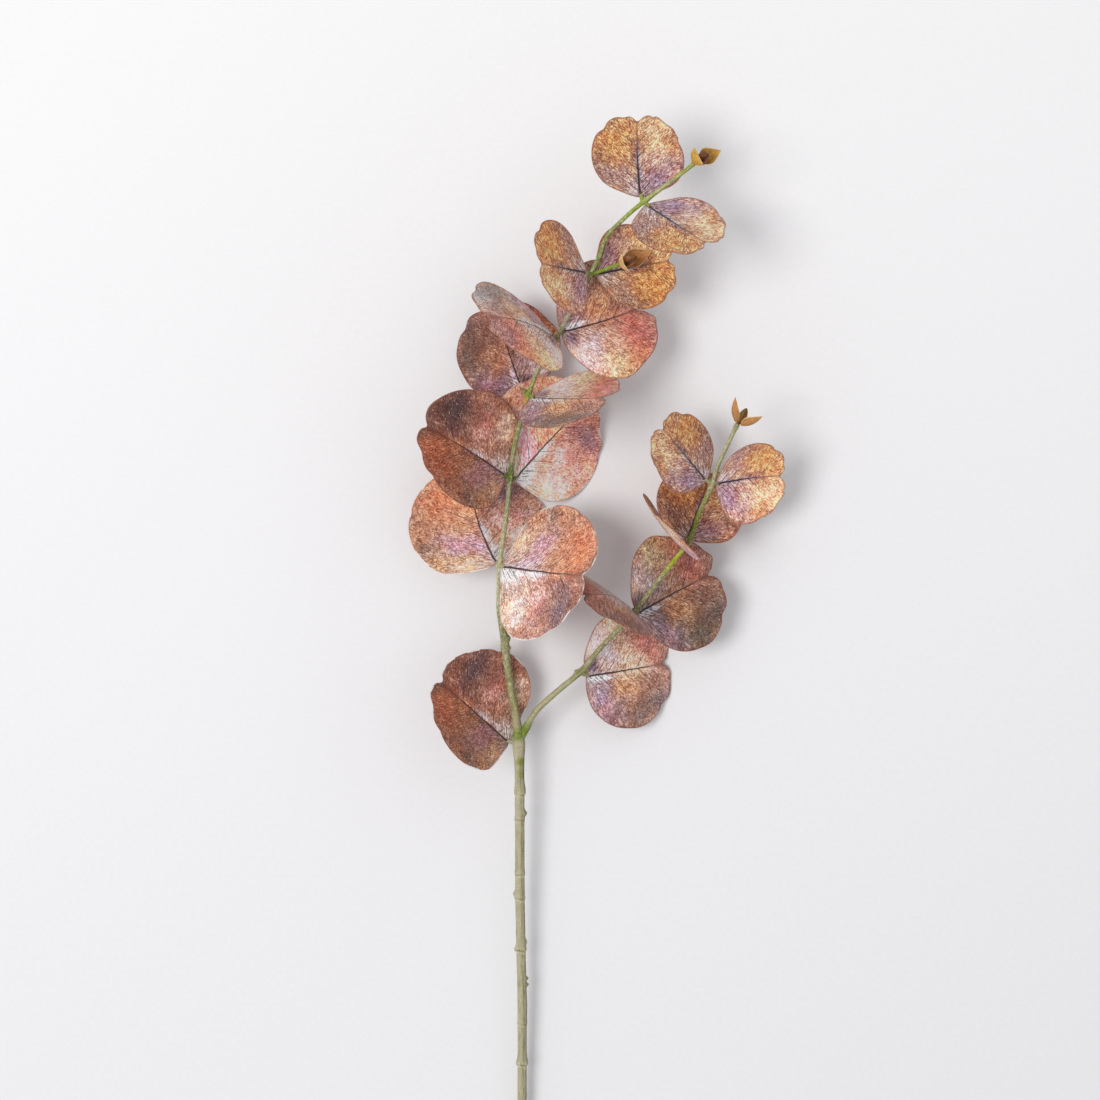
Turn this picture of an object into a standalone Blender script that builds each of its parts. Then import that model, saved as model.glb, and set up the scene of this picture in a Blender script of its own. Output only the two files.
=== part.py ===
"""A cut spray of round-leaf eucalyptus, lying on its leaf rims and on the cut end of its stem.

Drawn in millimetres and built in metres, +Z up. The main stem runs along Y. Every leaf is a thin sheet bent from a
flat outline: folded along its midrib, cupped across it and arched along it, then set on its stem by a base point, a
bearing, a pitch and a roll.
"""

import math

import bmesh
import bpy
from mathutils import Matrix, Vector

MM = 0.001

# The middle of the spray's box on the floor, in the frame that the tables below are written in.
ORIGIN = (25.0, -113.3, 0.0)

LEAF_THICKNESS = 0.7
LEAF_SPOKES = 36
INNER_RING = 0.55
VALVE_THICKNESS = 0.7

# Leaf outlines: radius in mm every 30 degrees round the leaf, from the base, then (angle, depth, width) of each notch
# or scallop in the rim, in degrees, mm and degrees. The base is at 0 and the tip at 180.
SMALL = (
    (22.3, 23.1, 27.1, 25.9, 21.1, 23.4, 21.4, 25.0, 26.7, 26.1, 24.0, 21.3),
    ((110, -0.7, 2.6), (121, -3.4, 13.3), (157, 0.9, 2.9), (179, 2.8, 7.7), (200, 1.2, 7.1), (230, 1.6, 6.4)),
)
MEDIUM = (
    (16.5, 19.6, 25.9, 32.6, 35.6, 36.2, 31.8, 35.7, 34.9, 31.8, 23.0, 18.6),
    ((112, -1.2, 11.4), (139, 1.8, 6.5), (170, -0.9, 4.4), (181, 3.7, 3.0), (195, -2.6, 6.1), (255, -2.0, 10.3)),
)
LARGE = (
    (27.0, 27.8, 34.4, 37.7, 34.3, 32.7, 29.5, 32.8, 34.7, 36.4, 34.1, 27.7),
    ((117, 0.9, 4.4), (143, 2.4, 10.5), (181, 2.7, 5.4), (199, -1.0, 9.5), (249, 0.8, 3.0)),
)
COLOURS = {
    SMALL: ("leaf_small", (0.42, 0.21, 0.09, 1)),
    MEDIUM: ("leaf_medium", (0.33, 0.15, 0.09, 1)),
    LARGE: ("leaf_large", (0.35, 0.14, 0.09, 1)),
}

# name, outline, side (-1 is the outline turned over), base point in mm, then in degrees: bearing of the midrib, its
# pitch, roll about it, fold of the left half, fold of the right half; then in radians per 100 mm the curvature across
# and along; then the size and the width against the outline.
LEAVES = (
    ("leaf_01", SMALL, 1, (47.9, 186.9, 58.4), 96, 4, -21, -2, 5, 0.0, 0.7, 0.98, 1.01),
    ("leaf_02", SMALL, -1, (51.1, 182.8, 59.5), -37, 30, 41, -4, 1, 0.3, 0.0, 1.05, 1.04),
    ("leaf_03", SMALL, -1, (19.8, 147.3, 53.7), 176, 52, -14, -2, -6, 0.8, 0.1, 0.99, 0.99),
    ("leaf_04", SMALL, -1, (24.3, 146.9, 49.5), 14, -26, -9, 4, 11, 0.8, 1.8, 1.00, 0.91),
    ("leaf_05", MEDIUM, 1, (2.1, 113.7, 47.7), 148, 49, -73, -7, 0, -0.1, -1.0, 1.03, 1.04),
    ("leaf_06", MEDIUM, -1, (5.7, 116.6, 43.5), 12, -5, -25, -1, 56, -2.0, -1.1, 1.01, 0.98),
    ("leaf_07", MEDIUM, -1, (-15.0, 85.5, 32.1), 109, -4, -4, -44, -33, 0.8, 0.4, 0.97, 1.01),
    ("leaf_08", MEDIUM, 1, (-10.1, 81.8, 43.3), -6, 27, 63, -1, -12, 0.7, 0.3, 0.95, 1.04),
    ("leaf_09", LARGE, -1, (-23.6, 39.8, 33.3), 144, 36, -18, 28, 10, -0.3, -0.9, 1.00, 0.93),
    ("leaf_10", LARGE, 1, (-18.9, 37.8, 30.4), 51, -18, -26, -11, -21, 0.9, 0.5, 1.07, 0.96),
    ("leaf_11", LARGE, 1, (-28.2, -7.7, 27.9), 123, -31, -44, -38, 1, 1.2, 1.3, 0.99, 1.09),
    ("leaf_12", LARGE, 1, (-26.5, -8.8, 31.5), -8, 25, 6, -23, -2, 1.3, 0.8, 1.04, 1.02),
    ("leaf_13", LARGE, -1, (-22.3, -104.7, 20.2), 137, 21, -4, 47, -14, 0.4, -0.3, 0.96, 1.08),
    ("leaf_14", MEDIUM, 1, (19.4, -68.6, 23.8), 8, -18, -1, -7, -3, -0.1, -0.5, 1.04, 0.91),
    ("leaf_15", MEDIUM, 1, (44.8, -33.6, 33.5), 128, 43, 74, -8, 13, 0.4, 2.0, 0.89, 1.08),
    ("leaf_16", MEDIUM, 1, (46.6, -34.7, 28.0), 30, -25, -10, 16, 27, -1.3, 1.0, 1.02, 0.97),
    ("leaf_17", SMALL, 1, (71.2, 1.4, 39.7), 144, 50, 95, -6, 7, -1.6, -0.7, 0.91, 0.98),
    ("leaf_18", SMALL, 1, (74.0, 5.6, 35.4), 70, -20, 7, -18, -14, 1.3, 0.1, 0.99, 0.95),
    ("leaf_19", SMALL, -1, (84.1, 36.7, 39.9), 130, 10, -36, -4, -7, 0.9, 0.0, 0.91, 0.99),
    ("leaf_20", SMALL, 1, (88.7, 35.3, 41.2), 13, -27, -19, 15, -7, 1.7, 1.5, 0.90, 1.06),
)

# Points along each stem's middle, from its thick end, with its radius there, in mm.
MAIN_STEM = (
    (-16.2, -455.8, 2.6, 2.6),
    (-16.2, -428.1, 3.3, 2.5),
    (-15.6, -389.3, 4.8, 2.5),
    (-15.6, -345.0, 7.0, 2.5),
    (-15.3, -300.8, 9.0, 2.5),
    (-15.3, -245.6, 12.6, 2.5),
    (-16.3, -190.6, 16.1, 2.6),
    (-16.7, -114.0, 21.1, 2.6),
    (-18.5, -90.5, 22.8, 2.4),
    (-21.8, -71.0, 24.4, 2.1),
    (-25.6, -43.3, 26.7, 1.9),
    (-27.5, -30.8, 27.7, 1.5),
    (-27.1, -8.6, 29.6, 1.3),
    (-23.8, 16.7, 32.1, 1.25),
    (-21.5, 38.2, 34.3, 1.25),
    (-18.8, 57.5, 36.8, 1.25),
    (-12.0, 81.5, 40.0, 1.2),
    (-6.3, 96.4, 42.5, 1.2),
    (3.7, 113.8, 45.4, 1.2),
    (21.0, 145.9, 51.4, 1.2),
    (26.1, 155.5, 53.5, 1.2),
    (30.1, 166.1, 55.9, 1.15),
    (39.3, 175.8, 58.0, 1.15),
    (50.2, 184.8, 60.0, 1.15),
    (65.0, 195.5, 62.8, 1.1),
    (75.8, 203.8, 64.9, 1.1),
)
SIDE_BRANCH = (
    (-12.6, -95.6, 22.2, 1.7),
    (-6.9, -86.5, 22.8, 1.7),
    (5.4, -75.3, 24.2, 1.6),
    (16.0, -66.3, 25.5, 1.5),
    (27.1, -53.2, 27.6, 1.35),
    (45.0, -33.9, 30.9, 1.3),
    (59.7, -14.6, 34.2, 1.25),
    (74.6, 5.0, 37.5, 1.2),
    (80.0, 19.7, 39.4, 1.2),
    (85.8, 32.7, 41.5, 1.15),
    (90.3, 46.1, 43.6, 1.15),
    (99.2, 65.6, 47.7, 1.1),
)
BUD_STALK = (
    (24.3, 147.4, 52.7, 0.9),
    (28.2, 148.7, 53.9, 0.9),
    (32.4, 150.2, 55.4, 0.9),
    (36.0, 151.2, 57.2, 0.9),
)
# Moulded rings on the bare stem: place along Y, extra radius, half length.
MAIN_RINGS = (
    (-134.0, 0.35, 1.2),
    (-147.0, 0.35, 1.2),
    (-177.0, 0.3, 1.2),
    (-189.0, 0.4, 1.5),
    (-218.0, 0.7, 2.4),
    (-259.0, 0.3, 1.2),
    (-281.0, 0.9, 2.6),
    (-330.0, 0.35, 1.4),
    (-385.0, 0.5, 2.0),
)
# Moulded knobs and stubs: place along Y, bearing off the stem's axis seen from its thin end, extra radius, half length.
MAIN_KNOBS = ((-144.0, 0, 1.3, 1.8), (-188.0, 180, 1.2, 1.8), (-218.0, 180, 0.9, 1.8), (-236.0, 0, 1.6, 1.8))

# name, stalk end, bearing and pitch of the axis, then the core's bearing, pitch, length and radius, then for each valve
# its place round the axis, spread off it, length, half width and how far it wraps. Degrees and mm.
GUM_NUTS = (
    ("gum_nut_a", (76.3, 204.2, 65.1), 38, 45, (28, 40, 10.5, 3.1), (248, 26, 12.6, 5.1, 79), (75, 47, 13.4, 4.9, 65)),
    ("gum_nut_b", (36.5, 151.5, 57.9), 20, 15, (20, 21, 11.0, 3.1), (278, 60, 8.0, 5.0, 64), (95, 35, 19.5, 5.0, 73)),
    ("gum_nut_c", (99.5, 66.2, 48.1), 62, -12, (60, 0, 11.0, 2.5), (240, 55, 16.5, 2.4, 65), (-38, 47, 12.8, 3.6, 58)),
)
# Where a valve's middle starts: off the axis and along it.
VALVE_START = (2.5, 1.0)
CORE_LOBES = 3
CORE_COLOUR = ("gum_core", (0.10, 0.05, 0.025, 1), 0.7)
VALVE_COLOUR = ("gum_valve", (0.36, 0.20, 0.06, 1), 0.65)


def rad(degrees):
    return degrees * math.pi / 180


def clear_scene():
    for obj in list(bpy.data.objects):
        bpy.data.objects.remove(obj, do_unlink=True)


def material(name, colour, roughness):
    mat = bpy.data.materials.get(name)
    if mat:
        return mat
    mat = bpy.data.materials.new(name)
    mat.use_nodes = True
    shader = mat.node_tree.nodes["Principled BSDF"]
    shader.inputs["Base Color"].default_value = colour
    shader.inputs["Roughness"].default_value = roughness
    shader.inputs["Metallic"].default_value = 0.0
    mat.diffuse_color = colour
    return mat


def add_object(name, bm, mat, sharp=40):
    bmesh.ops.recalc_face_normals(bm, faces=bm.faces)
    mesh = bpy.data.meshes.new(name)
    bm.to_mesh(mesh)
    bm.free()
    mesh.polygons.foreach_set("use_smooth", [True] * len(mesh.polygons))
    mesh.set_sharp_from_angle(angle=rad(sharp))
    mesh.materials.append(mat)
    obj = bpy.data.objects.new(name, mesh)
    bpy.context.scene.collection.objects.link(obj)
    return obj


def placed(point):
    return Vector([(p - o) * MM for p, o in zip(point, ORIGIN)])


def curve_through(points, t):
    """The point of any width at t in [0, 1] on a smooth curve through the points (Catmull-Rom, equal steps)."""
    x = min(max(t, 0.0), 1.0) * (len(points) - 1)
    i = min(int(x), len(points) - 2)
    f = x - i
    row = [points[min(max(i + k, 0), len(points) - 1)] for k in (-1, 0, 1, 2)]
    return [
        0.5 * (2 * b + (c - a) * f + (2 * a - 5 * b + 4 * c - d) * f * f + (3 * b - a - 3 * c + d) * f**3)
        for a, b, c, d in zip(*row)
    ]


def outline_radius(outline, angle):
    """Radius of the leaf at this angle, in degrees round from the base: a closed smooth curve less its notches."""
    spokes, notches = outline
    n = len(spokes)
    x = (angle % 360) / 360 * n
    i = int(x)
    f = x - i
    a, b, c, d = (spokes[(i + k) % n] for k in (-1, 0, 1, 2))
    r = 0.5 * (2 * b + (c - a) * f + (2 * a - 5 * b + 4 * c - d) * f * f + (3 * b - a - 3 * c + d) * f**3)
    for at, depth, width in notches:
        off = (angle - at + 180) % 360 - 180
        r -= depth * math.exp(-((off / width) ** 2))
    return r


def bend(a, b, leaf):
    """The point of the flat leaf at a across and b along, folded, cupped and arched: x right, y forward, z up."""
    side, fold_left, fold_right, across, along, size, width = leaf[2], *leaf[7:13]
    a *= side * size * width
    b *= size
    s = abs(a)
    fold = rad(fold_right if a > 0 else fold_left)
    h = across / 100 * s / 2
    reach = s * (math.sin(h) / h if h else 1)
    x, z = math.copysign(reach * math.cos(fold + h), a), reach * math.sin(fold + h)
    q = along / 100
    g = q * b / 2
    run = b * (math.sin(g) / g if g else 1)
    return Vector((x, run * math.cos(g) - z * math.sin(q * b), run * math.sin(g) + z * math.cos(q * b)))


def leaf_sheet(leaf):
    outline = leaf[1]
    base = outline_radius(outline, 0)
    bm = bmesh.new()
    centre = bm.verts.new(bend(0, base, leaf))
    rings = []
    for share in (INNER_RING, 1.0):
        ring = []
        for k in range(LEAF_SPOKES):
            angle = 360 * k / LEAF_SPOKES
            r = outline_radius(outline, angle) * share
            across = 0 if k in (0, LEAF_SPOKES // 2) else r * math.sin(rad(angle))
            ring.append(bm.verts.new(bend(across, base - r * math.cos(rad(angle)), leaf)))
        rings.append(ring)
    for k in range(LEAF_SPOKES):
        j = (k + 1) % LEAF_SPOKES
        bm.faces.new((centre, rings[0][k], rings[0][j]))
        bm.faces.new((rings[0][k], rings[1][k], rings[1][j], rings[0][j]))
    return bm


def thicken(bm, up, down):
    """Closes an open sheet into a solid: up and down give each point's distance from the sheet on the two sides."""
    bmesh.ops.triangulate(bm, faces=bm.faces)
    bmesh.ops.recalc_face_normals(bm, faces=bm.faces)
    bm.normal_update()
    bm.verts.index_update()
    points = [v.co.copy() for v in bm.verts]
    normals = [v.normal.copy() for v in bm.verts]
    faces = [[v.index for v in f.verts] for f in bm.faces]
    rim = [(e.verts[0].index, e.verts[1].index) for e in bm.edges if e.is_boundary]
    bm.free()
    solid = bmesh.new()
    top = [solid.verts.new(p + n * up(i)) for i, (p, n) in enumerate(zip(points, normals))]
    low = [solid.verts.new(p - n * down(i)) for i, (p, n) in enumerate(zip(points, normals))]
    for f in faces:
        solid.faces.new([top[i] for i in f])
        solid.faces.new([low[i] for i in reversed(f)])
    for i, j in rim:
        solid.faces.new((top[i], top[j], low[j], low[i]))
    return solid


def add_leaf(leaf):
    name, outline, _, base, bearing, pitch, roll = leaf[:7]
    bm = thicken(leaf_sheet(leaf), lambda i: LEAF_THICKNESS / 2, lambda i: LEAF_THICKNESS / 2)
    bmesh.ops.scale(bm, vec=(MM, MM, MM), verts=bm.verts)
    slot, colour = COLOURS[outline]
    obj = add_object(name, bm, material(slot, colour, 0.8))
    obj.location = placed(base)
    obj.rotation_mode = "YXZ"
    obj.rotation_euler = (rad(pitch), -rad(roll), rad(bearing - 90))


def stations(points, step, features=()):
    """Even steps along the curve, with closer ones over each feature, as shares of the curve."""
    n = 600
    path = [Vector(curve_through(points, k / n)[:3]) for k in range(n + 1)]
    runs = [0.0]
    for p, q in zip(path, path[1:]):
        runs.append(runs[-1] + (q - p).length)
    count = round(runs[-1] / step)
    wanted = [runs[-1] * k / count for k in range(count + 1)]
    for y, half in features:
        k = min(range(n + 1), key=lambda i: abs(path[i].y - y))
        wanted = [w for w in wanted if abs(w - runs[k]) > half * 1.5 or w in (0.0, wanted[-1])]
        wanted += [runs[k] + half * f for f in (-1, -0.5, 0, 0.5, 1)]
    shares = []
    for w in sorted(wanted):
        k = max(i for i in range(n) if runs[i] <= w)
        shares.append(min(1.0, (k + (w - runs[k]) / (runs[k + 1] - runs[k])) / n))
    return [s for i, s in enumerate(shares) if i == 0 or s - shares[i - 1] > 1e-4]


def add_stem(name, points, sides, step, mat, rings=(), knobs=()):
    bm = bmesh.new()
    shares = stations(points, step, [(y, half) for y, _, half in rings] + [(y, half) for y, _, _, half in knobs])
    loops = []
    for share in shares:
        x, y, z, radius = curve_through(points, share)
        ahead, behind = (Vector(curve_through(points, share + d)[:3]) for d in (0.002, -0.002))
        along = (ahead - behind).normalized()
        right = along.cross(Vector((0, 0, 1))).normalized()
        up = right.cross(along)
        for at, extra, half in rings:
            radius += extra * math.exp(-(((y - at) / half * 1.6) ** 2))
        loop = []
        for k in range(sides):
            angle = 360 * k / sides
            r = radius
            for at, bearing, extra, half in knobs:
                off = (angle - bearing + 180) % 360 - 180
                r += extra * math.exp(-(((y - at) / half * 1.6) ** 2) - (off / 40) ** 2)
            out = right * math.cos(rad(angle)) + up * math.sin(rad(angle))
            loop.append(bm.verts.new(Vector((x, y, z)) + out * r))
        loops.append(loop)
    for a, b in zip(loops, loops[1:]):
        for k in range(sides):
            j = (k + 1) % sides
            bm.faces.new((a[k], a[j], b[j], b[k]))
    bm.faces.new(loops[0][::-1])
    bm.faces.new(loops[-1])
    origin = Vector(points[0][:3])
    for v in bm.verts:
        v.co = (v.co - origin) * MM
    obj = add_object(name, bm, mat, 50)
    obj.location = placed(origin)


def axis_frame(bearing, pitch, turn):
    """Axes of a capsule: z along it, x to its right and y up, then turned about z."""
    a, p = rad(bearing), rad(pitch)
    z = Vector((math.cos(p) * math.cos(a), math.cos(p) * math.sin(a), math.sin(p)))
    x = Vector((math.sin(a), -math.cos(a), 0))
    y = z.cross(x)
    t = rad(turn)
    right = x * math.cos(t) + y * math.sin(t)
    return Matrix((right, z.cross(right), z)).transposed()


def core_radius(share):
    """Radius of the core against its largest, from its narrow foot at 0 to its blunt tip at 1."""
    if share < 0.45:
        return 0.25 + 0.75 * math.sin(math.pi / 2 * share / 0.45) ** 1.8
    return math.cos(math.pi / 2 * (share - 0.45) / 0.55) ** 0.65


def core_mesh(length, radius, sides=12):
    bm = bmesh.new()
    loops = []
    for share in (0.0, 0.1, 0.2, 0.32, 0.45, 0.6, 0.75, 0.87, 0.95):
        loop = []
        for k in range(sides):
            angle = 2 * math.pi * k / sides
            r = radius * core_radius(share) * (1 + 0.1 * math.cos(CORE_LOBES * angle))
            loop.append(bm.verts.new((r * math.cos(angle), r * math.sin(angle), length * share)))
        loops.append(loop)
    tip = bm.verts.new((0, 0, length))
    for a, b in zip(loops, loops[1:]):
        for k in range(sides):
            j = (k + 1) % sides
            bm.faces.new((a[k], a[j], b[j], b[k]))
    for k in range(sides):
        bm.faces.new((loops[-1][k], loops[-1][(k + 1) % sides], tip))
    bm.faces.new(loops[0][::-1])
    return bm


def valve_sheet(spread, length, half_width, wrap, rows=9, columns=3):
    """A pointed boat-shaped valve on the +x side: it leaves the core outward and curves back toward the axis."""
    bm = bmesh.new()
    x, z = VALVE_START
    grid = []
    for row in range(rows):
        u = row / rows
        lean = rad(spread + 24 - 42 * u)
        if row:
            x += length / rows * math.sin(lean)
            z += length / rows * math.cos(lean)
        half = half_width * (0.22 + 0.78 * math.sin(math.pi * min(1, u / 0.9) ** 0.8) ** 0.9)
        if u > 0.55:
            half = half_width * math.cos(math.pi / 2 * (u - 0.3) / 0.7) ** 0.9
        inward = Vector((-math.cos(lean), 0, math.sin(lean)))
        cup = rad(wrap)
        bow = half / math.sin(cup)
        grid.append(
            [
                bm.verts.new(
                    Vector((x, 0, z))
                    + Vector((0, 1, 0)) * bow * math.sin(cup * k / columns)
                    + inward * bow * (1 - math.cos(cup * k / columns))
                )
                for k in range(-columns, columns + 1)
            ]
        )
    lean = rad(spread - 18)
    tip = bm.verts.new((x + length / rows * math.sin(lean), 0, z + length / rows * math.cos(lean)))
    for a, b in zip(grid, grid[1:]):
        for k in range(len(a) - 1):
            bm.faces.new((a[k], b[k], b[k + 1], a[k + 1]))
    for k in range(len(grid[-1]) - 1):
        bm.faces.new((grid[-1][k], tip, grid[-1][k + 1]))
    return bm


def add_gum_nut(nut):
    name, end, bearing, pitch, core, left, right = nut
    core_bearing, core_pitch, core_length, core_width = core
    pieces = [("core", core_mesh(core_length, core_width), axis_frame(core_bearing, core_pitch, 0), CORE_COLOUR)]
    for side, (turn, spread, length, half_width, wrap) in (("valve_left", left), ("valve_right", right)):
        sheet = valve_sheet(spread, length, half_width, wrap)
        solid = thicken(sheet, lambda i: VALVE_THICKNESS / 2, lambda i: VALVE_THICKNESS / 2)
        pieces.append((side, solid, axis_frame(bearing, pitch, turn), VALVE_COLOUR))
    for part, bm, frame, (slot, colour, roughness) in pieces:
        for v in bm.verts:
            v.co = v.co * MM
        obj = add_object(name + "_" + part, bm, material(slot, colour, roughness))
        obj.matrix_world = Matrix.Translation(placed(end)) @ frame.to_4x4()


def main():
    clear_scene()
    add_stem("main_stem", MAIN_STEM, 10, 7.0, material("stem", (0.24, 0.25, 0.13, 1), 0.75), MAIN_RINGS, MAIN_KNOBS)
    add_stem("side_branch", SIDE_BRANCH, 8, 6.0, material("branch", (0.20, 0.24, 0.09, 1), 0.75))
    add_stem("bud_stalk", BUD_STALK, 8, 3.0, material("branch", (0.20, 0.24, 0.09, 1), 0.75))
    for leaf in LEAVES:
        add_leaf(leaf)
    for nut in GUM_NUTS:
        add_gum_nut(nut)


main()
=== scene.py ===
import math

import bpy
import numpy as np
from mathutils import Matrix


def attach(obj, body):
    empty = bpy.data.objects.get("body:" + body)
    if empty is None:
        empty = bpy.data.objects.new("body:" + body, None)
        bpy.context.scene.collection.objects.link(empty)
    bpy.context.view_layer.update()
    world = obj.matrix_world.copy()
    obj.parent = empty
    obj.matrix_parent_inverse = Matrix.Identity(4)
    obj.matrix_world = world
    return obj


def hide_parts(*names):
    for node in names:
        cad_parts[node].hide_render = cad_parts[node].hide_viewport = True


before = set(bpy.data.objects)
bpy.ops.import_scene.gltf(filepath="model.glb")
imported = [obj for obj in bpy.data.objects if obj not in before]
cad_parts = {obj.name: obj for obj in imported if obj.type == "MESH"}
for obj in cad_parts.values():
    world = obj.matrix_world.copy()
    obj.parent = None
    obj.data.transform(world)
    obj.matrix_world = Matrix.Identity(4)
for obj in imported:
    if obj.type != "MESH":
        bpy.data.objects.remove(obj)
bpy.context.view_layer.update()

MM = 0.001
ORIGIN = np.array((25.0, -113.3, 0.0))
SCENE = bpy.context.scene

# ---------------------------------------------------------------- the spray's tables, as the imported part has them

SMALL = (
    (22.3, 23.1, 27.1, 25.9, 21.1, 23.4, 21.4, 25.0, 26.7, 26.1, 24.0, 21.3),
    ((110, -0.7, 2.6), (121, -3.4, 13.3), (157, 0.9, 2.9), (179, 2.8, 7.7), (200, 1.2, 7.1), (230, 1.6, 6.4)),
)
MEDIUM = (
    (16.5, 19.6, 25.9, 32.6, 35.6, 36.2, 31.8, 35.7, 34.9, 31.8, 23.0, 18.6),
    ((112, -1.2, 11.4), (139, 1.8, 6.5), (170, -0.9, 4.4), (181, 3.7, 3.0), (195, -2.6, 6.1), (255, -2.0, 10.3)),
)
LARGE = (
    (27.0, 27.8, 34.4, 37.7, 34.3, 32.7, 29.5, 32.8, 34.7, 36.4, 34.1, 27.7),
    ((117, 0.9, 4.4), (143, 2.4, 10.5), (181, 2.7, 5.4), (199, -1.0, 9.5), (249, 0.8, 3.0)),
)

# name, outline, side, base point, bearing, pitch, roll, folds left and right, curvature across and along, size, width
LEAVES = (
    ("leaf_01", SMALL, 1, (47.9, 186.9, 58.4), 96, 4, -21, -2, 5, 0.0, 0.7, 0.98, 1.01),
    ("leaf_02", SMALL, -1, (51.1, 182.8, 59.5), -37, 30, 41, -4, 1, 0.3, 0.0, 1.05, 1.04),
    ("leaf_03", SMALL, -1, (19.8, 147.3, 53.7), 176, 52, -14, -2, -6, 0.8, 0.1, 0.99, 0.99),
    ("leaf_04", SMALL, -1, (24.3, 146.9, 49.5), 14, -26, -9, 4, 11, 0.8, 1.8, 1.00, 0.91),
    ("leaf_05", MEDIUM, 1, (2.1, 113.7, 47.7), 148, 49, -73, -7, 0, -0.1, -1.0, 1.03, 1.04),
    ("leaf_06", MEDIUM, -1, (5.7, 116.6, 43.5), 12, -5, -25, -1, 56, -2.0, -1.1, 1.01, 0.98),
    ("leaf_07", MEDIUM, -1, (-15.0, 85.5, 32.1), 109, -4, -4, -44, -33, 0.8, 0.4, 0.97, 1.01),
    ("leaf_08", MEDIUM, 1, (-10.1, 81.8, 43.3), -6, 27, 63, -1, -12, 0.7, 0.3, 0.95, 1.04),
    ("leaf_09", LARGE, -1, (-23.6, 39.8, 33.3), 144, 36, -18, 28, 10, -0.3, -0.9, 1.00, 0.93),
    ("leaf_10", LARGE, 1, (-18.9, 37.8, 30.4), 51, -18, -26, -11, -21, 0.9, 0.5, 1.07, 0.96),
    ("leaf_11", LARGE, 1, (-28.2, -7.7, 27.9), 123, -31, -44, -38, 1, 1.2, 1.3, 0.99, 1.09),
    ("leaf_12", LARGE, 1, (-26.5, -8.8, 31.5), -8, 25, 6, -23, -2, 1.3, 0.8, 1.04, 1.02),
    ("leaf_13", LARGE, -1, (-22.3, -104.7, 20.2), 137, 21, -4, 47, -14, 0.4, -0.3, 0.96, 1.08),
    ("leaf_14", MEDIUM, 1, (19.4, -68.6, 23.8), 8, -18, -1, -7, -3, -0.1, -0.5, 1.04, 0.91),
    ("leaf_15", MEDIUM, 1, (44.8, -33.6, 33.5), 128, 43, 74, -8, 13, 0.4, 2.0, 0.89, 1.08),
    ("leaf_16", MEDIUM, 1, (46.6, -34.7, 28.0), 30, -25, -10, 16, 27, -1.3, 1.0, 1.02, 0.97),
    ("leaf_17", SMALL, 1, (71.2, 1.4, 39.7), 144, 50, 95, -6, 7, -1.6, -0.7, 0.91, 0.98),
    ("leaf_18", SMALL, 1, (74.0, 5.6, 35.4), 70, -20, 7, -18, -14, 1.3, 0.1, 0.99, 0.95),
    ("leaf_19", SMALL, -1, (84.1, 36.7, 39.9), 130, 10, -36, -4, -7, 0.9, 0.0, 0.91, 0.99),
    ("leaf_20", SMALL, 1, (88.7, 35.3, 41.2), 13, -27, -19, 15, -7, 1.7, 1.5, 0.90, 1.06),
)

# Each leaf's gain for red, green and blue: partly its print coming out a little lighter or darker, warmer or greyer,
# partly painted light and shade, the brightening, darkening and greying a leaf shows from its tilt to the light and
# from sheen.
DYE_AND_LIGHT_GAIN = {
    "leaf_01": (1.38, 1.50, 1.78),
    "leaf_02": (1.41, 1.58, 1.94),
    "leaf_03": (1.52, 1.46, 1.56),
    "leaf_04": (1.35, 1.37, 1.35),
    "leaf_05": (2.04, 2.43, 2.78),
    "leaf_06": (1.77, 1.98, 2.39),
    "leaf_07": (1.06, 1.04, 1.25),
    "leaf_08": (1.92, 2.33, 2.77),
    "leaf_09": (0.95, 0.89, 0.89),
    "leaf_10": (2.86, 2.81, 3.19),
    "leaf_11": (1.68, 1.99, 2.25),
    "leaf_12": (1.52, 1.73, 1.96),
    "leaf_13": (0.93, 0.88, 0.89),
    "leaf_14": (1.84, 2.37, 3.06),
    "leaf_15": (2.75, 3.38, 4.34),
    "leaf_16": (0.93, 1.11, 1.30),
    "leaf_17": (1.62, 1.71, 2.39),
    "leaf_18": (1.13, 0.98, 0.92),
    "leaf_19": (1.19, 1.25, 1.46),
    "leaf_20": (1.73, 1.77, 2.08),
}

MAIN_STEM = (
    (-16.2, -455.8, 2.6, 2.6),
    (-16.2, -428.1, 3.3, 2.5),
    (-15.6, -389.3, 4.8, 2.5),
    (-15.6, -345.0, 7.0, 2.5),
    (-15.3, -300.8, 9.0, 2.5),
    (-15.3, -245.6, 12.6, 2.5),
    (-16.3, -190.6, 16.1, 2.6),
    (-16.7, -114.0, 21.1, 2.6),
    (-18.5, -90.5, 22.8, 2.4),
    (-21.8, -71.0, 24.4, 2.1),
    (-25.6, -43.3, 26.7, 1.9),
    (-27.5, -30.8, 27.7, 1.5),
    (-27.1, -8.6, 29.6, 1.3),
    (-23.8, 16.7, 32.1, 1.25),
    (-21.5, 38.2, 34.3, 1.25),
    (-18.8, 57.5, 36.8, 1.25),
    (-12.0, 81.5, 40.0, 1.2),
    (-6.3, 96.4, 42.5, 1.2),
    (3.7, 113.8, 45.4, 1.2),
    (21.0, 145.9, 51.4, 1.2),
    (26.1, 155.5, 53.5, 1.2),
    (30.1, 166.1, 55.9, 1.15),
    (39.3, 175.8, 58.0, 1.15),
    (50.2, 184.8, 60.0, 1.15),
    (65.0, 195.5, 62.8, 1.1),
    (75.8, 203.8, 64.9, 1.1),
)
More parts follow.
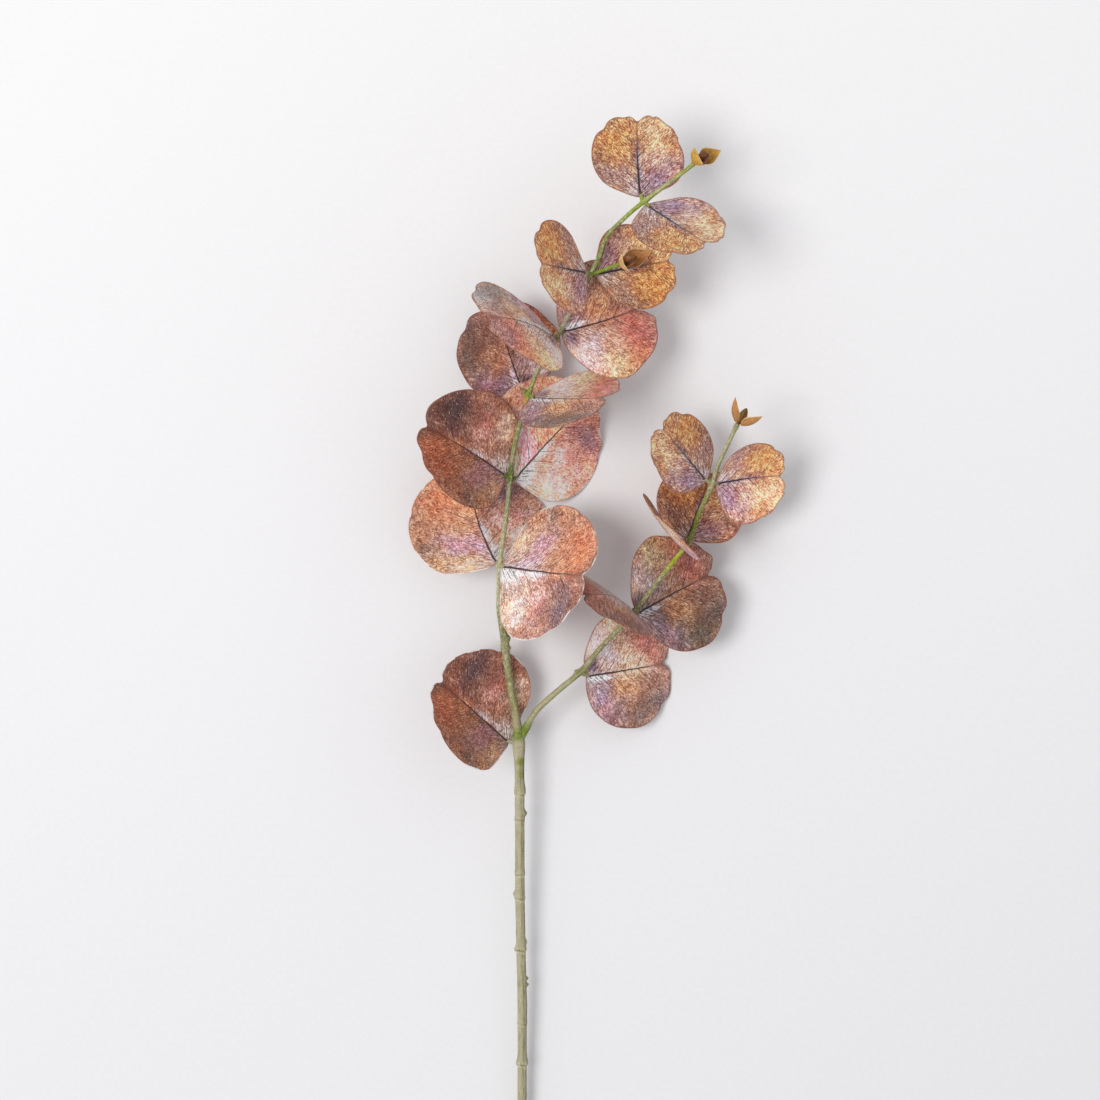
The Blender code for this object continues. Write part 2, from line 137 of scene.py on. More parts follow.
# The branch starts inside the main stem and leaves it through a sleeve.
SIDE_BRANCH = (
    (-16.8, -104.5, 21.7, 1.9),
    (-14.6, -99.6, 21.9, 1.9),
    (-12.0, -94.6, 22.2, 1.75),
    (-6.9, -86.5, 22.8, 1.7),
    (5.4, -75.3, 24.2, 1.6),
    (16.0, -66.3, 25.5, 1.5),
    (27.1, -53.2, 27.6, 1.35),
    (45.0, -33.9, 30.9, 1.3),
    (59.7, -14.6, 34.2, 1.25),
    (74.6, 5.0, 37.5, 1.2),
    (80.0, 19.7, 39.4, 1.2),
    (85.8, 32.7, 41.5, 1.15),
    (90.3, 46.1, 43.6, 1.15),
    (99.2, 65.6, 47.7, 1.1),
)
BUD_STALK = (
    (21.3, 146.4, 51.7, 0.9),
    (24.3, 147.4, 52.7, 0.9),
    (28.2, 148.7, 53.9, 0.9),
    (32.4, 150.2, 55.4, 0.9),
    (36.2, 151.3, 57.4, 0.95),
)
GUM_NUTS = (
    ("gum_nut_a", (76.3, 204.2, 65.1), 38, 45, (28, 40, 10.5, 3.1), (248, 26, 12.6, 5.1, 79), (75, 47, 13.4, 4.9, 65)),
    ("gum_nut_b", (36.5, 151.5, 57.9), 20, 15, (20, 21, 11.0, 3.1), (278, 60, 8.0, 5.0, 64), (95, 35, 19.5, 5.0, 73)),
    ("gum_nut_c", (99.5, 66.2, 48.1), 62, -12, (60, 0, 11.0, 2.5), (240, 55, 16.5, 2.4, 65), (-38, 47, 12.8, 3.6, 58)),
)
VALVE_START = (2.5, 1.0)
CORE_LOBES = 3

# ---------------------------------------------------------------- small tools


def rgb(*values):
    """Linear colour of a 0-255 screen colour."""
    out = []
    for v in values:
        v = v / 255
        out.append(v / 12.92 if v <= 0.04045 else ((v + 0.055) / 1.055) ** 2.4)
    return tuple(out)


def rad(degrees):
    return degrees * math.pi / 180


def spline(points, t):
    """Rows of a smooth closed-end curve through the points at each t in [0, 1] (Catmull-Rom, equal steps)."""
    p = np.asarray(points, float)
    x = np.clip(np.asarray(t, float), 0, 1) * (len(p) - 1)
    i = np.minimum(x.astype(int), len(p) - 2)
    f = (x - i)[:, None]
    a, b, c, d = (p[np.clip(i + k, 0, len(p) - 1)] for k in (-1, 0, 1, 2))
    return 0.5 * (2 * b + (c - a) * f + (2 * a - 5 * b + 4 * c - d) * f**2 + (3 * b - a - 3 * c + d) * f**3)


def outline_radius(outline, angle):
    spokes, notches = outline
    p = np.asarray(spokes)
    n = len(p)
    x = (np.asarray(angle, float) % 360) / 360 * n
    i = x.astype(int)
    f = x - i
    a, b, c, d = (p[(i + k) % n] for k in (-1, 0, 1, 2))
    r = 0.5 * (2 * b + (c - a) * f + (2 * a - 5 * b + 4 * c - d) * f**2 + (3 * b - a - 3 * c + d) * f**3)
    for at, depth, width in notches:
        off = (angle - at + 180) % 360 - 180
        r = r - depth * np.exp(-((off / width) ** 2))
    return r


def value_noise(points, seed):
    """Smooth noise in [-1, 1] of 2-D or 3-D points, from a seeded lattice."""
    points = np.atleast_2d(points)
    if points.shape[1] == 2:
        points = np.c_[points, np.zeros(len(points))]
    grid = np.random.default_rng(seed).uniform(-1, 1, (32, 32, 32))
    i = np.floor(points).astype(int)
    f = points - i
    f = f * f * (3 - 2 * f)
    out = np.zeros(len(points))
    for dx in (0, 1):
        for dy in (0, 1):
            for dz in (0, 1):
                w = (f[:, 0] if dx else 1 - f[:, 0]) * (f[:, 1] if dy else 1 - f[:, 1]) * (f[:, 2] if dz else 1 - f[:, 2])
                out += w * grid[(i[:, 0] + dx) % 32, (i[:, 1] + dy) % 32, (i[:, 2] + dz) % 32]
    return out


def bend(a, b, leaf):
    side, fold_left, fold_right, across, along, size, width = leaf[2], *leaf[7:13]
    a = a * side * size * width
    b = b * size
    s = np.abs(a)
    fold = np.where(a > 0, rad(fold_right), rad(fold_left))
    h = across / 100 * s / 2
    reach = s * np.sinc(h / np.pi)
    x, z = np.sign(a) * reach * np.cos(fold + h), reach * np.sin(fold + h)
    q = along / 100
    g = q * b / 2
    run = b * np.sinc(g / np.pi)
    return np.stack([x, run * np.cos(g) - z * np.sin(q * b), run * np.sin(g) + z * np.cos(q * b)], -1)


def leaf_axes(leaf):
    bearing, pitch, roll = (rad(v) for v in leaf[4:7])
    f = np.array((math.cos(pitch) * math.cos(bearing), math.cos(pitch) * math.sin(bearing), math.sin(pitch)))
    r0 = np.array((math.sin(bearing), -math.cos(bearing), 0.0))
    n0 = np.cross(r0, f)
    r = r0 * math.cos(roll) + n0 * math.sin(roll)
    n = -r0 * math.sin(roll) + n0 * math.cos(roll)
    return np.stack([r, f, n])


def leaf_world(local, leaf):
    return (np.asarray(leaf[3]) - ORIGIN + local @ leaf_axes(leaf)) * MM


def add_mesh(name, points, faces, materials, face_material=None, attributes=None, smooth=True):
    """An object of numpy points in metres and faces of 3 or 4 corners, with per-point colours, vectors or numbers."""
    faces = [np.asarray(f, np.int32) for f in faces]
    volume = 0.0
    for f in faces:
        for k in range(1, f.shape[1] - 1):
            a, b, c = (np.asarray(points)[f[:, i]] for i in (0, k, k + 1))
            volume += np.einsum("ij,ij->i", a, np.cross(b, c)).sum()
    if volume < 0:
        faces = [f[:, ::-1] for f in faces]
    sizes = np.concatenate([np.full(len(f), f.shape[1]) for f in faces]).astype(np.int32)
    corners = np.concatenate([f.ravel() for f in faces])
    mesh = bpy.data.meshes.new(name)
    mesh.vertices.add(len(points))
    mesh.vertices.foreach_set("co", np.asarray(points, np.float32).ravel())
    mesh.loops.add(len(corners))
    mesh.loops.foreach_set("vertex_index", corners)
    mesh.polygons.add(len(sizes))
    mesh.polygons.foreach_set("loop_start", np.concatenate([[0], np.cumsum(sizes)[:-1]]).astype(np.int32))
    mesh.update(calc_edges=True)
    mesh.validate()
    mesh.polygons.foreach_set("use_smooth", np.full(len(mesh.polygons), smooth))
    if face_material is not None:
        mesh.polygons.foreach_set("material_index", np.asarray(face_material, np.int32))
    for mat in materials:
        mesh.materials.append(mat)
    for key, values in (attributes or {}).items():
        values = np.asarray(values, np.float32)
        if values.ndim == 1:
            mesh.attributes.new(key, "FLOAT", "POINT").data.foreach_set("value", values)
        elif values.shape[1] == 3:
            mesh.attributes.new(key, "FLOAT_VECTOR", "POINT").data.foreach_set("vector", values.ravel())
        else:
            mesh.attributes.new(key, "FLOAT_COLOR", "POINT").data.foreach_set("color", values.ravel())
    obj = bpy.data.objects.new(name, mesh)
    SCENE.collection.objects.link(obj)
    return obj


# ---------------------------------------------------------------- node helpers


class Tree:
    """Builds a material's nodes with short calls; every call gives back an output socket."""

    def __init__(self, name):
        self.mat = bpy.data.materials.new(name)
        self.mat.use_nodes = True
        self.tree = self.mat.node_tree
        self.shader = self.tree.nodes["Principled BSDF"]

    def put(self, kind, inputs=None, **settings):
        node = self.tree.nodes.new(kind)
        for key, value in settings.items():
            setattr(node, key, value)
        for key, value in (inputs or {}).items():
            if value is None:
                continue
            socket = node.inputs[key]
            if isinstance(value, bpy.types.NodeSocket):
                self.tree.links.new(value, socket)
            else:
                socket.default_value = value
        return node

    def attribute(self, name, output="Vector"):
        return self.put("ShaderNodeAttribute", attribute_name=name).outputs[output]

    def math(self, operation, a, b=None, c=None, clamp=False):
        return self.put("ShaderNodeMath", {0: a, 1: b, 2: c}, operation=operation, use_clamp=clamp).outputs[0]

    def split(self, vector):
        return self.put("ShaderNodeSeparateXYZ", {0: vector}).outputs

    def join(self, x, y, z=0.0):
        return self.put("ShaderNodeCombineXYZ", {0: x, 1: y, 2: z}).outputs[0]

    def noise(self, vector, scale=1.0, detail=2.0, rough=0.5, distortion=0.0):
        node = self.put("ShaderNodeTexNoise", {"Vector": vector, "Scale": scale, "Detail": detail, "Roughness": rough})
        node.inputs["Distortion"].default_value = distortion
        return node.outputs["Fac"]

    def edges(self, vector, scale=1.0, randomness=1.0):
        return self.put(
            "ShaderNodeTexVoronoi", {"Vector": vector, "Scale": scale, "Randomness": randomness}, feature="DISTANCE_TO_EDGE"
        ).outputs["Distance"]

    def step(self, value, low, high, to_low=0.0, to_high=1.0):
        """A soft step: to_low below low, to_high above high."""
        return self.put(
            "ShaderNodeMapRange",
            {"Value": value, "From Min": low, "From Max": high, "To Min": to_low, "To Max": to_high},
            interpolation_type="SMOOTHSTEP",
            clamp=True,
        ).outputs[0]

    def mix(self, factor, a, b, blend="MIX"):
        node = self.put("ShaderNodeMix", data_type="RGBA", blend_type=blend, clamp_factor=True)
        for key, value in ((0, factor), (6, a), (7, b)):
            if isinstance(value, bpy.types.NodeSocket):
                self.tree.links.new(value, node.inputs[key])
            elif key == 0:
                node.inputs[key].default_value = value
            else:
                node.inputs[key].default_value = (*value, 1.0)
        return node.outputs[2]

    def bump(self, height, distance, strength=1.0, normal=None):
        return self.put("ShaderNodeBump", {"Height": height, "Distance": distance, "Strength": strength, "Normal": normal}).outputs[0]

    def out(self, colour, roughness, normal=None, **constants):
        links = self.tree.links
        if isinstance(colour, bpy.types.NodeSocket):
            links.new(colour, self.shader.inputs["Base Color"])
        if isinstance(roughness, bpy.types.NodeSocket):
            links.new(roughness, self.shader.inputs["Roughness"])
        else:
            self.shader.inputs["Roughness"].default_value = roughness
        if normal is not None:
            links.new(normal, self.shader.inputs["Normal"])
        for key, value in constants.items():
            self.shader.inputs[key.replace("_", " ")].default_value = value
        return self.mat


# ---------------------------------------------------------------- the leaves' print

# Where each dyed area lies on the flat leaf: a across, b along, half widths, turn in degrees, colour, strength.
PRINTS = {
    "small": (
        (190, 142, 106),
        (
            (-12, 33, 17, 14, 0, (203, 143, 80), 0.9),
            (-20, 25, 9, 8, 0, (185, 125, 72), 0.6),
            (-16, 12, 13, 6.5, -28, (157, 116, 101), 0.95),
            (-24, 17, 4, 8, 0, (153, 110, 83), 0.6),
            (-6.5, 10, 2.5, 7, 30, (201, 169, 149), 0.6),
            (-3.5, 3.5, 3.2, 5.5, 20, (222, 200, 184), 0.95),
            (9, 8, 10, 6.0, 20, (168, 134, 146), 0.95),
            (17, 12, 9, 6, 20, (177, 135, 135), 0.6),
            (10, 20, 9, 6, 20, (198, 165, 151), 0.75),
            (13, 34, 12, 11, 0, (230, 184, 130), 0.9),
            (25, 19, 4.5, 9, 0, (180, 128, 108), 0.75),
            (18, 27, 7, 4.5, 0, (206, 153, 105), 0.55),
            (0.4, 26, 3.0, 9, 0, (135, 82, 68), 0.65),
            (0.2, 14, 1.6, 12, 0, (140, 126, 134), 0.7),
            (-3, 37, 4, 4, 0, (170, 99, 76), 0.35),
        ),
    ),
    "medium": (
        (170, 120, 96),
        (
            (-12, 38, 15, 10, 0, (174, 88, 68), 0.95),
            (-26, 33, 7, 8, 0, (196, 110, 72), 0.6),
            (-28, 22, 11, 8, 0, (214, 164, 112), 0.9),
            (-14, 24, 8, 7, 0, (186, 132, 100), 0.6),
            (-21, 10, 13, 6.5, -10, (214, 168, 148), 0.9),
            (-10, 14, 5, 6, 0, (210, 179, 171), 0.6),
            (20, 10, 13, 6, 18, (160, 116, 122), 0.95),
            (8, 9, 5, 5, 0, (134, 109, 115), 0.7),
            (9, 24, 9, 11, 0, (182, 118, 74), 0.9),
            (10, 36, 7, 9, 0, (140, 84, 60), 0.75),
            (27, 26, 10, 12, 0, (116, 90, 70), 0.95),
            (21, 40, 10, 8, 0, (98, 70, 60), 0.85),
            (-5.5, 4.2, 5.0, 3.8, 0, (104, 70, 84), 0.95),
            (0, 50, 15, 6.0, 0, (108, 72, 60), 0.5),
            (-16, 3, 7, 4.5, 0, (236, 190, 176), 0.5),
            (2.2, 6, 2.1, 7.5, 0, (216, 200, 195), 0.98),
        ),
    ),
    "large": (
        (172, 118, 92),
        (
            (-14, 44, 15, 10, 0, (206, 113, 72), 0.95),
            (-5, 36, 6, 9, 0, (198, 130, 93), 0.7),
            (-27, 31, 11, 8, 0, (178, 122, 92), 0.85),
            (-34, 18, 7, 8, 0, (134, 98, 80), 0.85),
            (-20, 11, 14, 5.5, -10, (198, 149, 114), 0.85),
            (-12, 19, 12, 4.6, -32, (194, 138, 142), 0.9),
            (-4, 13, 3, 6, 0, (186, 134, 148), 0.5),
            (-7, 5, 5, 3.5, 0, (225, 181, 158), 0.6),
            (24, 13, 13, 7.5, 0, (246, 204, 176), 0.95),
            (16, 3.5, 11, 2.6, 0, (202, 162, 130), 0.7),
            (17, 26, 12, 6, 0, (200, 138, 128), 0.95),
            (32, 31, 6, 8, 0, (191, 139, 120), 0.75),
            (24, 42, 10, 9, 0, (142, 94, 84), 0.8),
            (5, 42, 4, 10, 0, (156, 89, 76), 0.7),
            (15, 43, 11.5, 7.5, 0, (108, 76, 74), 0.95),
            (3, 57, 15, 7, 0, (104, 66, 60), 0.5),
            (-17, 4, 7, 5, 0, (232, 182, 146), 0.5),
            (2.2, 17, 1.6, 9, 0, (215, 193, 188), 0.9),
            (4.4, 5.5, 4.4, 6.5, 0, (249, 238, 230), 0.98),
        ),
    ),
}
KIND = {SMALL: "small", MEDIUM: "medium", LARGE: "large"}
# The palest dye of each kind, the ink of its veins, and how strong its net, grain, clouds and mottle are, and its lift.
PALE = {"small": rgb(255, 226, 168), "medium": rgb(255, 218, 186), "large": rgb(255, 222, 196)}
INK = {"small": rgb(52, 42, 50), "medium": rgb(48, 32, 44), "large": rgb(62, 34, 44)}
CONTRAST = {"small": (1.20, 4.4, 3.2, 2.6, 0.38), "medium": (1.10, 3.7, 3.0, 1.6, 0.44), "large": (1.10, 3.5, 2.8, 1.4, 0.44)}
# Dark dye is redder than pale dye: how much each swing of a pattern changes red, green and blue.
HUES = {"small": (1.66, 2.28, 2.30), "medium": (1.72, 2.04, 2.16), "large": (1.72, 2.06, 2.16)}
RIM = {"small": rgb(150, 84, 62), "medium": rgb(138, 76, 62), "large": rgb(146, 78, 60)}
# Leaves whose cut edge shows the cloth's white backing.
WHITE_RIMS = ("leaf_10", "leaf_11", "leaf_12", "leaf_13")
# Soft areas that one leaf has and the others of its kind don't, written as in PRINTS; leaf_05's grey ones are painted
# sheen.
WASHES = {
    # Painted sheen: the three grey areas at positive a stand for the grazing reflection off leaf_05's steep outer half.
    "leaf_05": (
        (16, 46, 13, 9, 0, (162, 138, 124), 0.75),
        (-9, 43, 13, 7.5, 0, (126, 84, 76), 0.75),
        (22, 27, 12, 14, 0, (152, 132, 124), 0.45),
        (1, 20, 7, 7, 0, (206, 186, 176), 0.5),
        (22, 38, 10, 6, 0, (124, 108, 104), 0.5),
    ),
    "leaf_07": ((-14, 14, 12, 9, 0, (250, 214, 196), 0.55), (13, 31, 12, 15, 0, (122, 76, 54), 0.55)),
    "leaf_08": (
        (25, 17, 11, 17, 0, (104, 72, 62), 0.6),
        (-5, 16, 12, 10, 0, (220, 184, 154), 0.4),
        (2, 50, 20, 7, 0, (116, 76, 66), 0.45),
    ),
    "leaf_09": (
        (-20, 40, 16, 12, 0, (170, 84, 52), 0.45),
        (14, 48, 15, 11, 0, (78, 52, 48), 0.65),
        (-9, 12, 8, 6, 0, (214, 170, 160), 0.4),
        (9, 20, 6, 7, 0, (224, 176, 160), 0.4),
    ),
    "leaf_10": ((23, 17, 16, 10, 0, (162, 134, 119), 0.75), (-30, 33, 10, 8, 0, (120, 90, 78), 0.55)),
    "leaf_12": (
        (16, 42, 12, 8, 0, (146, 108, 98), 0.4),
        (25, 15, 14, 8, 0, (206, 164, 146), 0.6),
        (-28, 11, 7, 7, 0, (150, 96, 76), 0.55),
        (1, 15, 12, 9, 0, (240, 214, 208), 0.3),
    ),
    "leaf_13": ((-19, 7, 9, 7, 0, (220, 172, 132), 0.45),),
    "leaf_14": (
        (-21, 32, 8, 10, 0, (142, 86, 70), 0.6),
        (-2, 28, 8, 10, 0, (228, 184, 142), 0.5),
        (10, 28, 7, 8, 0, (150, 88, 56), 0.5),
        (26, 18, 12, 15, 0, (128, 80, 66), 0.75),
    ),
    "leaf_15": (
        (-15, 7, 12, 9, 0, (246, 232, 226), 0.9),
        (0, 21, 8, 7, 0, (230, 208, 198), 0.7),
        (3, 47, 18, 9, 0, (92, 50, 36), 0.75),
        (26, 24, 9, 15, 0, (98, 58, 46), 0.7),
    ),
}
# Main side veins of each kind: where they leave the midrib, in mm from the base, for the left and the right half.
VEINS = {
    "small": ((3, 9, 15, 21, 28), (3, 9, 15, 22, 29)),
    "medium": ((6, 12, 20, 29), (7, 13, 21, 30)),
    "large": ((5, 12, 19, 27, 36), (6, 13, 20, 28, 37)),
}
SLOPE = 0.85


def paint(kind, a, b, washes=()):
    """The soft dyed areas' colour at each point of the flat leaf, linear, with the leaf's washes, which on leaf_05
    include painted sheen.
    """
    ground, areas = PRINTS[kind]
    wobble = 1.6 * value_noise(np.c_[a / 7, b / 7], 5), 1.6 * value_noise(np.c_[a / 7, b / 7], 6)
    colour = np.tile(np.array(rgb(*ground)), (len(a), 1))
    for ca, cb, wa, wb, turn, value, strength in areas + washes:
        c, s = math.cos(rad(turn)), math.sin(rad(turn))
        da, db = a + wobble[0] - ca, b + wobble[1] - cb
        u, v = (da * c + db * s) / wa, (-da * s + db * c) / wb
        f = (strength * np.exp(-((u * u + v * v) ** 1.25)))[:, None]
        colour = colour * (1 - f) + np.array(rgb(*value)) * f
    return colour


def flow(a, b):
    """Coordinates that run with the veins: across them and along them. Fan lines below, slanting side veins above."""
    s = np.abs(a)
    bowed = s * (1 - s / 150)
    t = b - SLOPE * bowed
    corner = math.atan2(1, SLOPE)
    phi = np.arctan2(bowed, b + 1e-6)
    phi = np.where(b < 0, np.maximum(phi, math.pi / 2), phi)
    across = np.where(t >= 0, t, -(phi - corner) * 22)
    along = np.where(t >= 0, s / math.sin(corner), np.hypot(a, b))
    return across, along


def vein_relief(kind, a, b, side_sign):
    """Height in mm of the pressed midrib and of the raised main side veins."""
    across, along = flow(a, b)
    length = 40 if kind == "small" else 48 if kind == "medium" else 54
    depth = 0.32 * np.clip(1.1 - b / length, 0.15, 1)
    z = -depth * np.exp(-((a / 0.9) ** 2))
    for half, starts in ((-1, VEINS[kind][0]), (1, VEINS[kind][1])):
        on = (np.sign(a) == half) * np.clip(along / 3, 0, 1) * np.clip(1.25 - along / 32, 0, 1)
        for start in starts:
            line = start + 0.6 * np.sin(along / 6 + start)
            z = z + 0.13 * on * np.exp(-(((across - line) / 0.8) ** 2))
    return z


SPOKES, RINGS = 144, 34
HALF = 0.19  # half the cloth's thickness in mm


def leaf_mesh(leaf, seed, materials):
    name, outline, side = leaf[:3]
    kind = KIND[outline]
    base = float(outline_radius(outline, np.array([0.0]))[0])
    angles = 360 * np.arange(SPOKES) / SPOKES
    radius = outline_radius(outline, angles)
    share = 1 - (1 - np.arange(1, RINGS + 1) / RINGS) ** 1.15
    r = share[:, None] * radius[None]
    a = r * np.sin(np.radians(angles))[None]
    a[:, 0] = a[:, SPOKES // 2] = 0
    b = base - r * np.cos(np.radians(angles))[None]
    a, b = np.concatenate([[0.0], a.ravel()]), np.concatenate([[base], b.ravel()])
    rim = np.concatenate([[radius.mean()], (radius[None] - r).ravel()])

    points = bend(a, b, leaf)
    e = 0.05
    left = bend(np.where(a == 0, -e, a - e), b, leaf)
    right = bend(np.where(a == 0, e, a + e), b, leaf)
    ahead, behind = bend(a, b + e, leaf), bend(a, b - e, leaf)
    normal = np.cross((right - left) * side, ahead - behind)
    normal /= np.linalg.norm(normal, axis=1, keepdims=True)

    sway = np.clip(1 - rim / 9, 0, 1) ** 1.5
    lift = 0.10 * value_noise(np.c_[a / 9, b / 9], seed) + 0.22 * sway * value_noise(np.c_[a / 6, b / 6], seed + 1)
    lift += 0.03 * value_noise(np.c_[a / 1.6, b / 1.6], seed + 2)
    lift += vein_relief(kind, a, b, side)
    lift *= np.clip(rim / 1.5 + 0.5, 0, 1)
    points = points + normal * lift[:, None]
    edge = np.clip(rim / 0.5, 0, 1)
    half = HALF * (0.55 + 0.45 * edge)
    top, low = points + normal * half[:, None], points - normal * half[:, None]

    n = len(a)
    k = np.arange(SPOKES)
    j = (k + 1) % SPOKES
    centre = np.stack([np.zeros(SPOKES, int), 1 + k, 1 + j], 1)
    ring = [
        np.stack([1 + i * SPOKES + k, 1 + (i + 1) * SPOKES + k, 1 + (i + 1) * SPOKES + j, 1 + i * SPOKES + j], 1)
        for i in range(RINGS - 1)
    ]
    quads = np.concatenate(ring)
    last = 1 + (RINGS - 1) * SPOKES
    band = np.stack([last + j, last + k, last + k + n, last + j + n], 1)
    tris = np.concatenate([centre[:, ::-1], centre + n])
    quads = np.concatenate([quads[:, ::-1], quads + n, band[:, ::-1]])
    if side < 0:
        tris, quads = tris[:, ::-1], quads[:, ::-1]
    tris, quads = tris[:, ::-1], quads[:, ::-1]

    printed = side * a if kind == "large" else a
    # The gain brings in both the leaf's own dye and its painted light and shade.
    colour = paint(kind, printed, b, WASHES.get(name, ())) * np.array(DYE_AND_LIGHT_GAIN.get(name, (1, 1, 1)))
    across, along = flow(printed, b)
    both = lambda v: np.concatenate([v, v])
    attributes = {
        "paint": np.concatenate([np.c_[colour, np.ones(n)]] * 2),
        "leaf_mm": both(np.c_[printed, b, rim]),
        "flow": both(np.c_[across, along, np.sign(printed)]),
        "under": np.concatenate([np.zeros(n), np.ones(n)]),
        "white_rim": np.full(2 * n, 1.0 if name in WHITE_RIMS else 0.0),
    }
    world = leaf_world(np.concatenate([top, low]), leaf)
    world[:, 2] = np.maximum(world[:, 2], 0.00004)
    face_material = np.concatenate([np.zeros(len(tris)), np.zeros(len(quads) - SPOKES), np.ones(SPOKES)])
    obj = add_mesh("printed_" + name, world, [tris, quads], materials, face_material, attributes)
    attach(obj, "root")
    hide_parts(name)
    return obj


def leaf_material(kind):
    t = Tree("print_" + kind)
    place = t.attribute("leaf_mm")
    run = t.attribute("flow")
    ground = t.attribute("paint", "Color")
    under = t.attribute("under", "Fac")
    x, y, rim = t.split(place)
    q, s, half = t.split(run)
    far = t.math("MULTIPLY", half, 37.0)
    flat = t.join(x, y)
    reach = t.put("ShaderNodeVectorMath", {0: flat}, operation="LENGTH").outputs["Value"]
    wave = t.put("ShaderNodeTexNoise", {"Vector": flat, "Scale": 0.45, "Detail": 3.0}).outputs["Color"]
    wave = t.put("ShaderNodeVectorMath", {0: wave, 1: (0.5, 0.5, 0.5)}, operation="SUBTRACT").outputs[0]

    def veined(across, along, shift=0.0, wander=0.0):
        v = t.join(t.math("MULTIPLY_ADD", q, across, shift), t.math("MULTIPLY", s, along), far)
        if wander:
            v = t.put("ShaderNodeVectorMath", {0: wave, 1: (wander,) * 3, 2: v}, operation="MULTIPLY_ADD").outputs[0]
        return v

    def tint(colour, factor):
        return t.mix(1.0, colour, factor, "MULTIPLY")

    def swing(value, amount):
        return t.math("MULTIPLY_ADD", value, amount, -0.5 * amount)

    inky = INK[kind]
    net, grain_amount, cloud_amount, mottle_amount, lift = CONTRAST[kind]
    # Every pattern swings the dye between dark and pale about its own colour.
    cloud = t.noise(flat, 0.12, 5, 0.62, 0.8)
    coarse = t.noise(veined(0.50, 0.20, 0.0, 1.2), 1.0, 5, 0.7)
    cells = t.edges(veined(0.80, 0.36 if kind == "small" else 0.42, 5.0, 1.1), 1.0)
    uneven = t.noise(flat, 0.30, 3, 0.6)
    fine = t.noise(veined(1.15, 0.55, 11.0, 0.7), 1.0, 3, 0.75)
    lines = t.math("MULTIPLY", t.step(cells, 0.17, 0.04, 0, -1.30), t.step(uneven, 0.38, 0.58, 0.20, 1.0))
    islands = t.math("MULTIPLY", t.step(cells, 0.20, 0.48, 0, 0.50), t.step(uneven, 0.40, 0.62, 0.9, 0.25))
    ridge = t.math("ABSOLUTE", t.math("SUBTRACT", t.noise(veined(0.62, 0.24, 21.0, 1.0), 1.0, 2, 0.6), 0.5))
    cracks = t.step(ridge, 0.050, 0.006, 0, -1.15)
    swings = t.math("ADD", swing(cloud, cloud_amount), swing(coarse, mottle_amount))
    swings = t.math("ADD", swings, cracks)
    swings = t.math("ADD", swings, t.math("ADD", swing(fine, grain_amount), lift))
    swings = t.math("ADD", swings, t.math("MULTIPLY", t.math("ADD", lines, islands), net))
    # Pale areas of the dye are calmer than dark ones.
    dye = t.split(ground)
    calm = t.step(dye[1], 0.45, 1.10, 1.0, 0.50 if kind == "large" else 0.62)
    swings = t.math("MULTIPLY", swings, calm)
    swings = t.math("MINIMUM", t.math("MAXIMUM", swings, -2.1), 1.25 if kind == "small" else 1.0)
    depth = [t.math("POWER", base, swings) for base in HUES[kind]]
    # Warmer and cooler areas of the dye.
    warm = t.math("MULTIPLY_ADD", t.noise(t.join(x, y, far), 0.10, 3, 0.55), 3.2, -1.6)
    warm = t.math("MINIMUM", t.math("MAXIMUM", warm, -0.8), 0.8)
    hue = [t.math("POWER", base, warm) for base in (1.16, 0.93, 0.72)]
    colour = t.join(
        *(t.math("MINIMUM", t.math("MULTIPLY", t.math("MULTIPLY", dye[i], depth[i]), hue[i]), 0.93) for i in range(3))
    )
    colour = t.mix(t.step(swings, 0.55, 1.25, 0, 0.45), colour, PALE[kind])

    # Rays from the base, dark and pale.
    near = t.step(reach, 3, 24, 1, 0)
    fan = t.join(t.math("MULTIPLY_ADD", q, 0.95, 3.0), t.math("MULTIPLY", s, 0.13), far)
    fan = t.put("ShaderNodeVectorMath", {0: wave, 1: (1.1, 1.1, 1.1), 2: fan}, operation="MULTIPLY_ADD").outputs[0]
    rays = t.noise(fan, 1.0, 4, 0.66)
    colour = t.mix(t.math("MULTIPLY", t.step(rays, 0.49, 0.40, 0, 0.62), t.step(reach, 2, 15, 1, 0)), colour, (0.86, 0.80, 0.79))
    colour = t.mix(t.math("MULTIPLY", t.step(rays, 0.53, 0.60, 0, 0.90), near), colour, inky)
    # Main side veins.
    wander = t.math("MULTIPLY_ADD", t.noise(t.join(x, y, 3.0), 0.22, 3), 3.2, -1.6)
    for side, starts in ((-1.0, VEINS[kind][0]), (1.0, VEINS[kind][1])):
        here = t.math("COMPARE", half, side, 0.6)
        for start in starts:
            off = t.math("ABSOLUTE", t.math("SUBTRACT", t.math("ADD", q, wander), float(start)))
            line = t.math("MULTIPLY", t.step(off, 0.10, 0.42, 1, 0), here)
            fade = t.step(s, 3, 30, 0.75, 0) if kind != "small" else t.step(s, 2, 18, 0.7, 0)
            colour = t.mix(t.math("MULTIPLY", line, fade), colour, inky)
    # Midrib: a dark line, broad at the base.
    sway = t.math("MULTIPLY_ADD", t.noise(t.join(0.0, y, 2.0), 0.12, 2), 1.6, -0.8)
    off = t.math("ABSOLUTE", t.math("ADD", x, sway if kind == "large" else t.math("MULTIPLY", sway, 0.5)))
    long = {"small": 38.0, "medium": 46.0, "large": 56.0}[kind]
    wide = {"small": 0.72, "medium": 0.60, "large": 0.60}[kind]
    width = t.step(y, 2.0, long, wide, 0.20)
    grain = t.math("MULTIPLY_ADD", t.noise(t.join(x, y, 6.0), 1.3, 2), 1.0, 0.5)
    line = t.step(t.math("DIVIDE", off, t.math("MULTIPLY", width, grain)), 0.55, 1.15, 1, 0)
    ends = t.step(y, long * (0.42 if kind == "small" else 0.66), long, 0.95, 0.12 if kind == "small" else 0.22)
    colour = t.mix(t.math("MULTIPLY", line, ends), colour, inky)
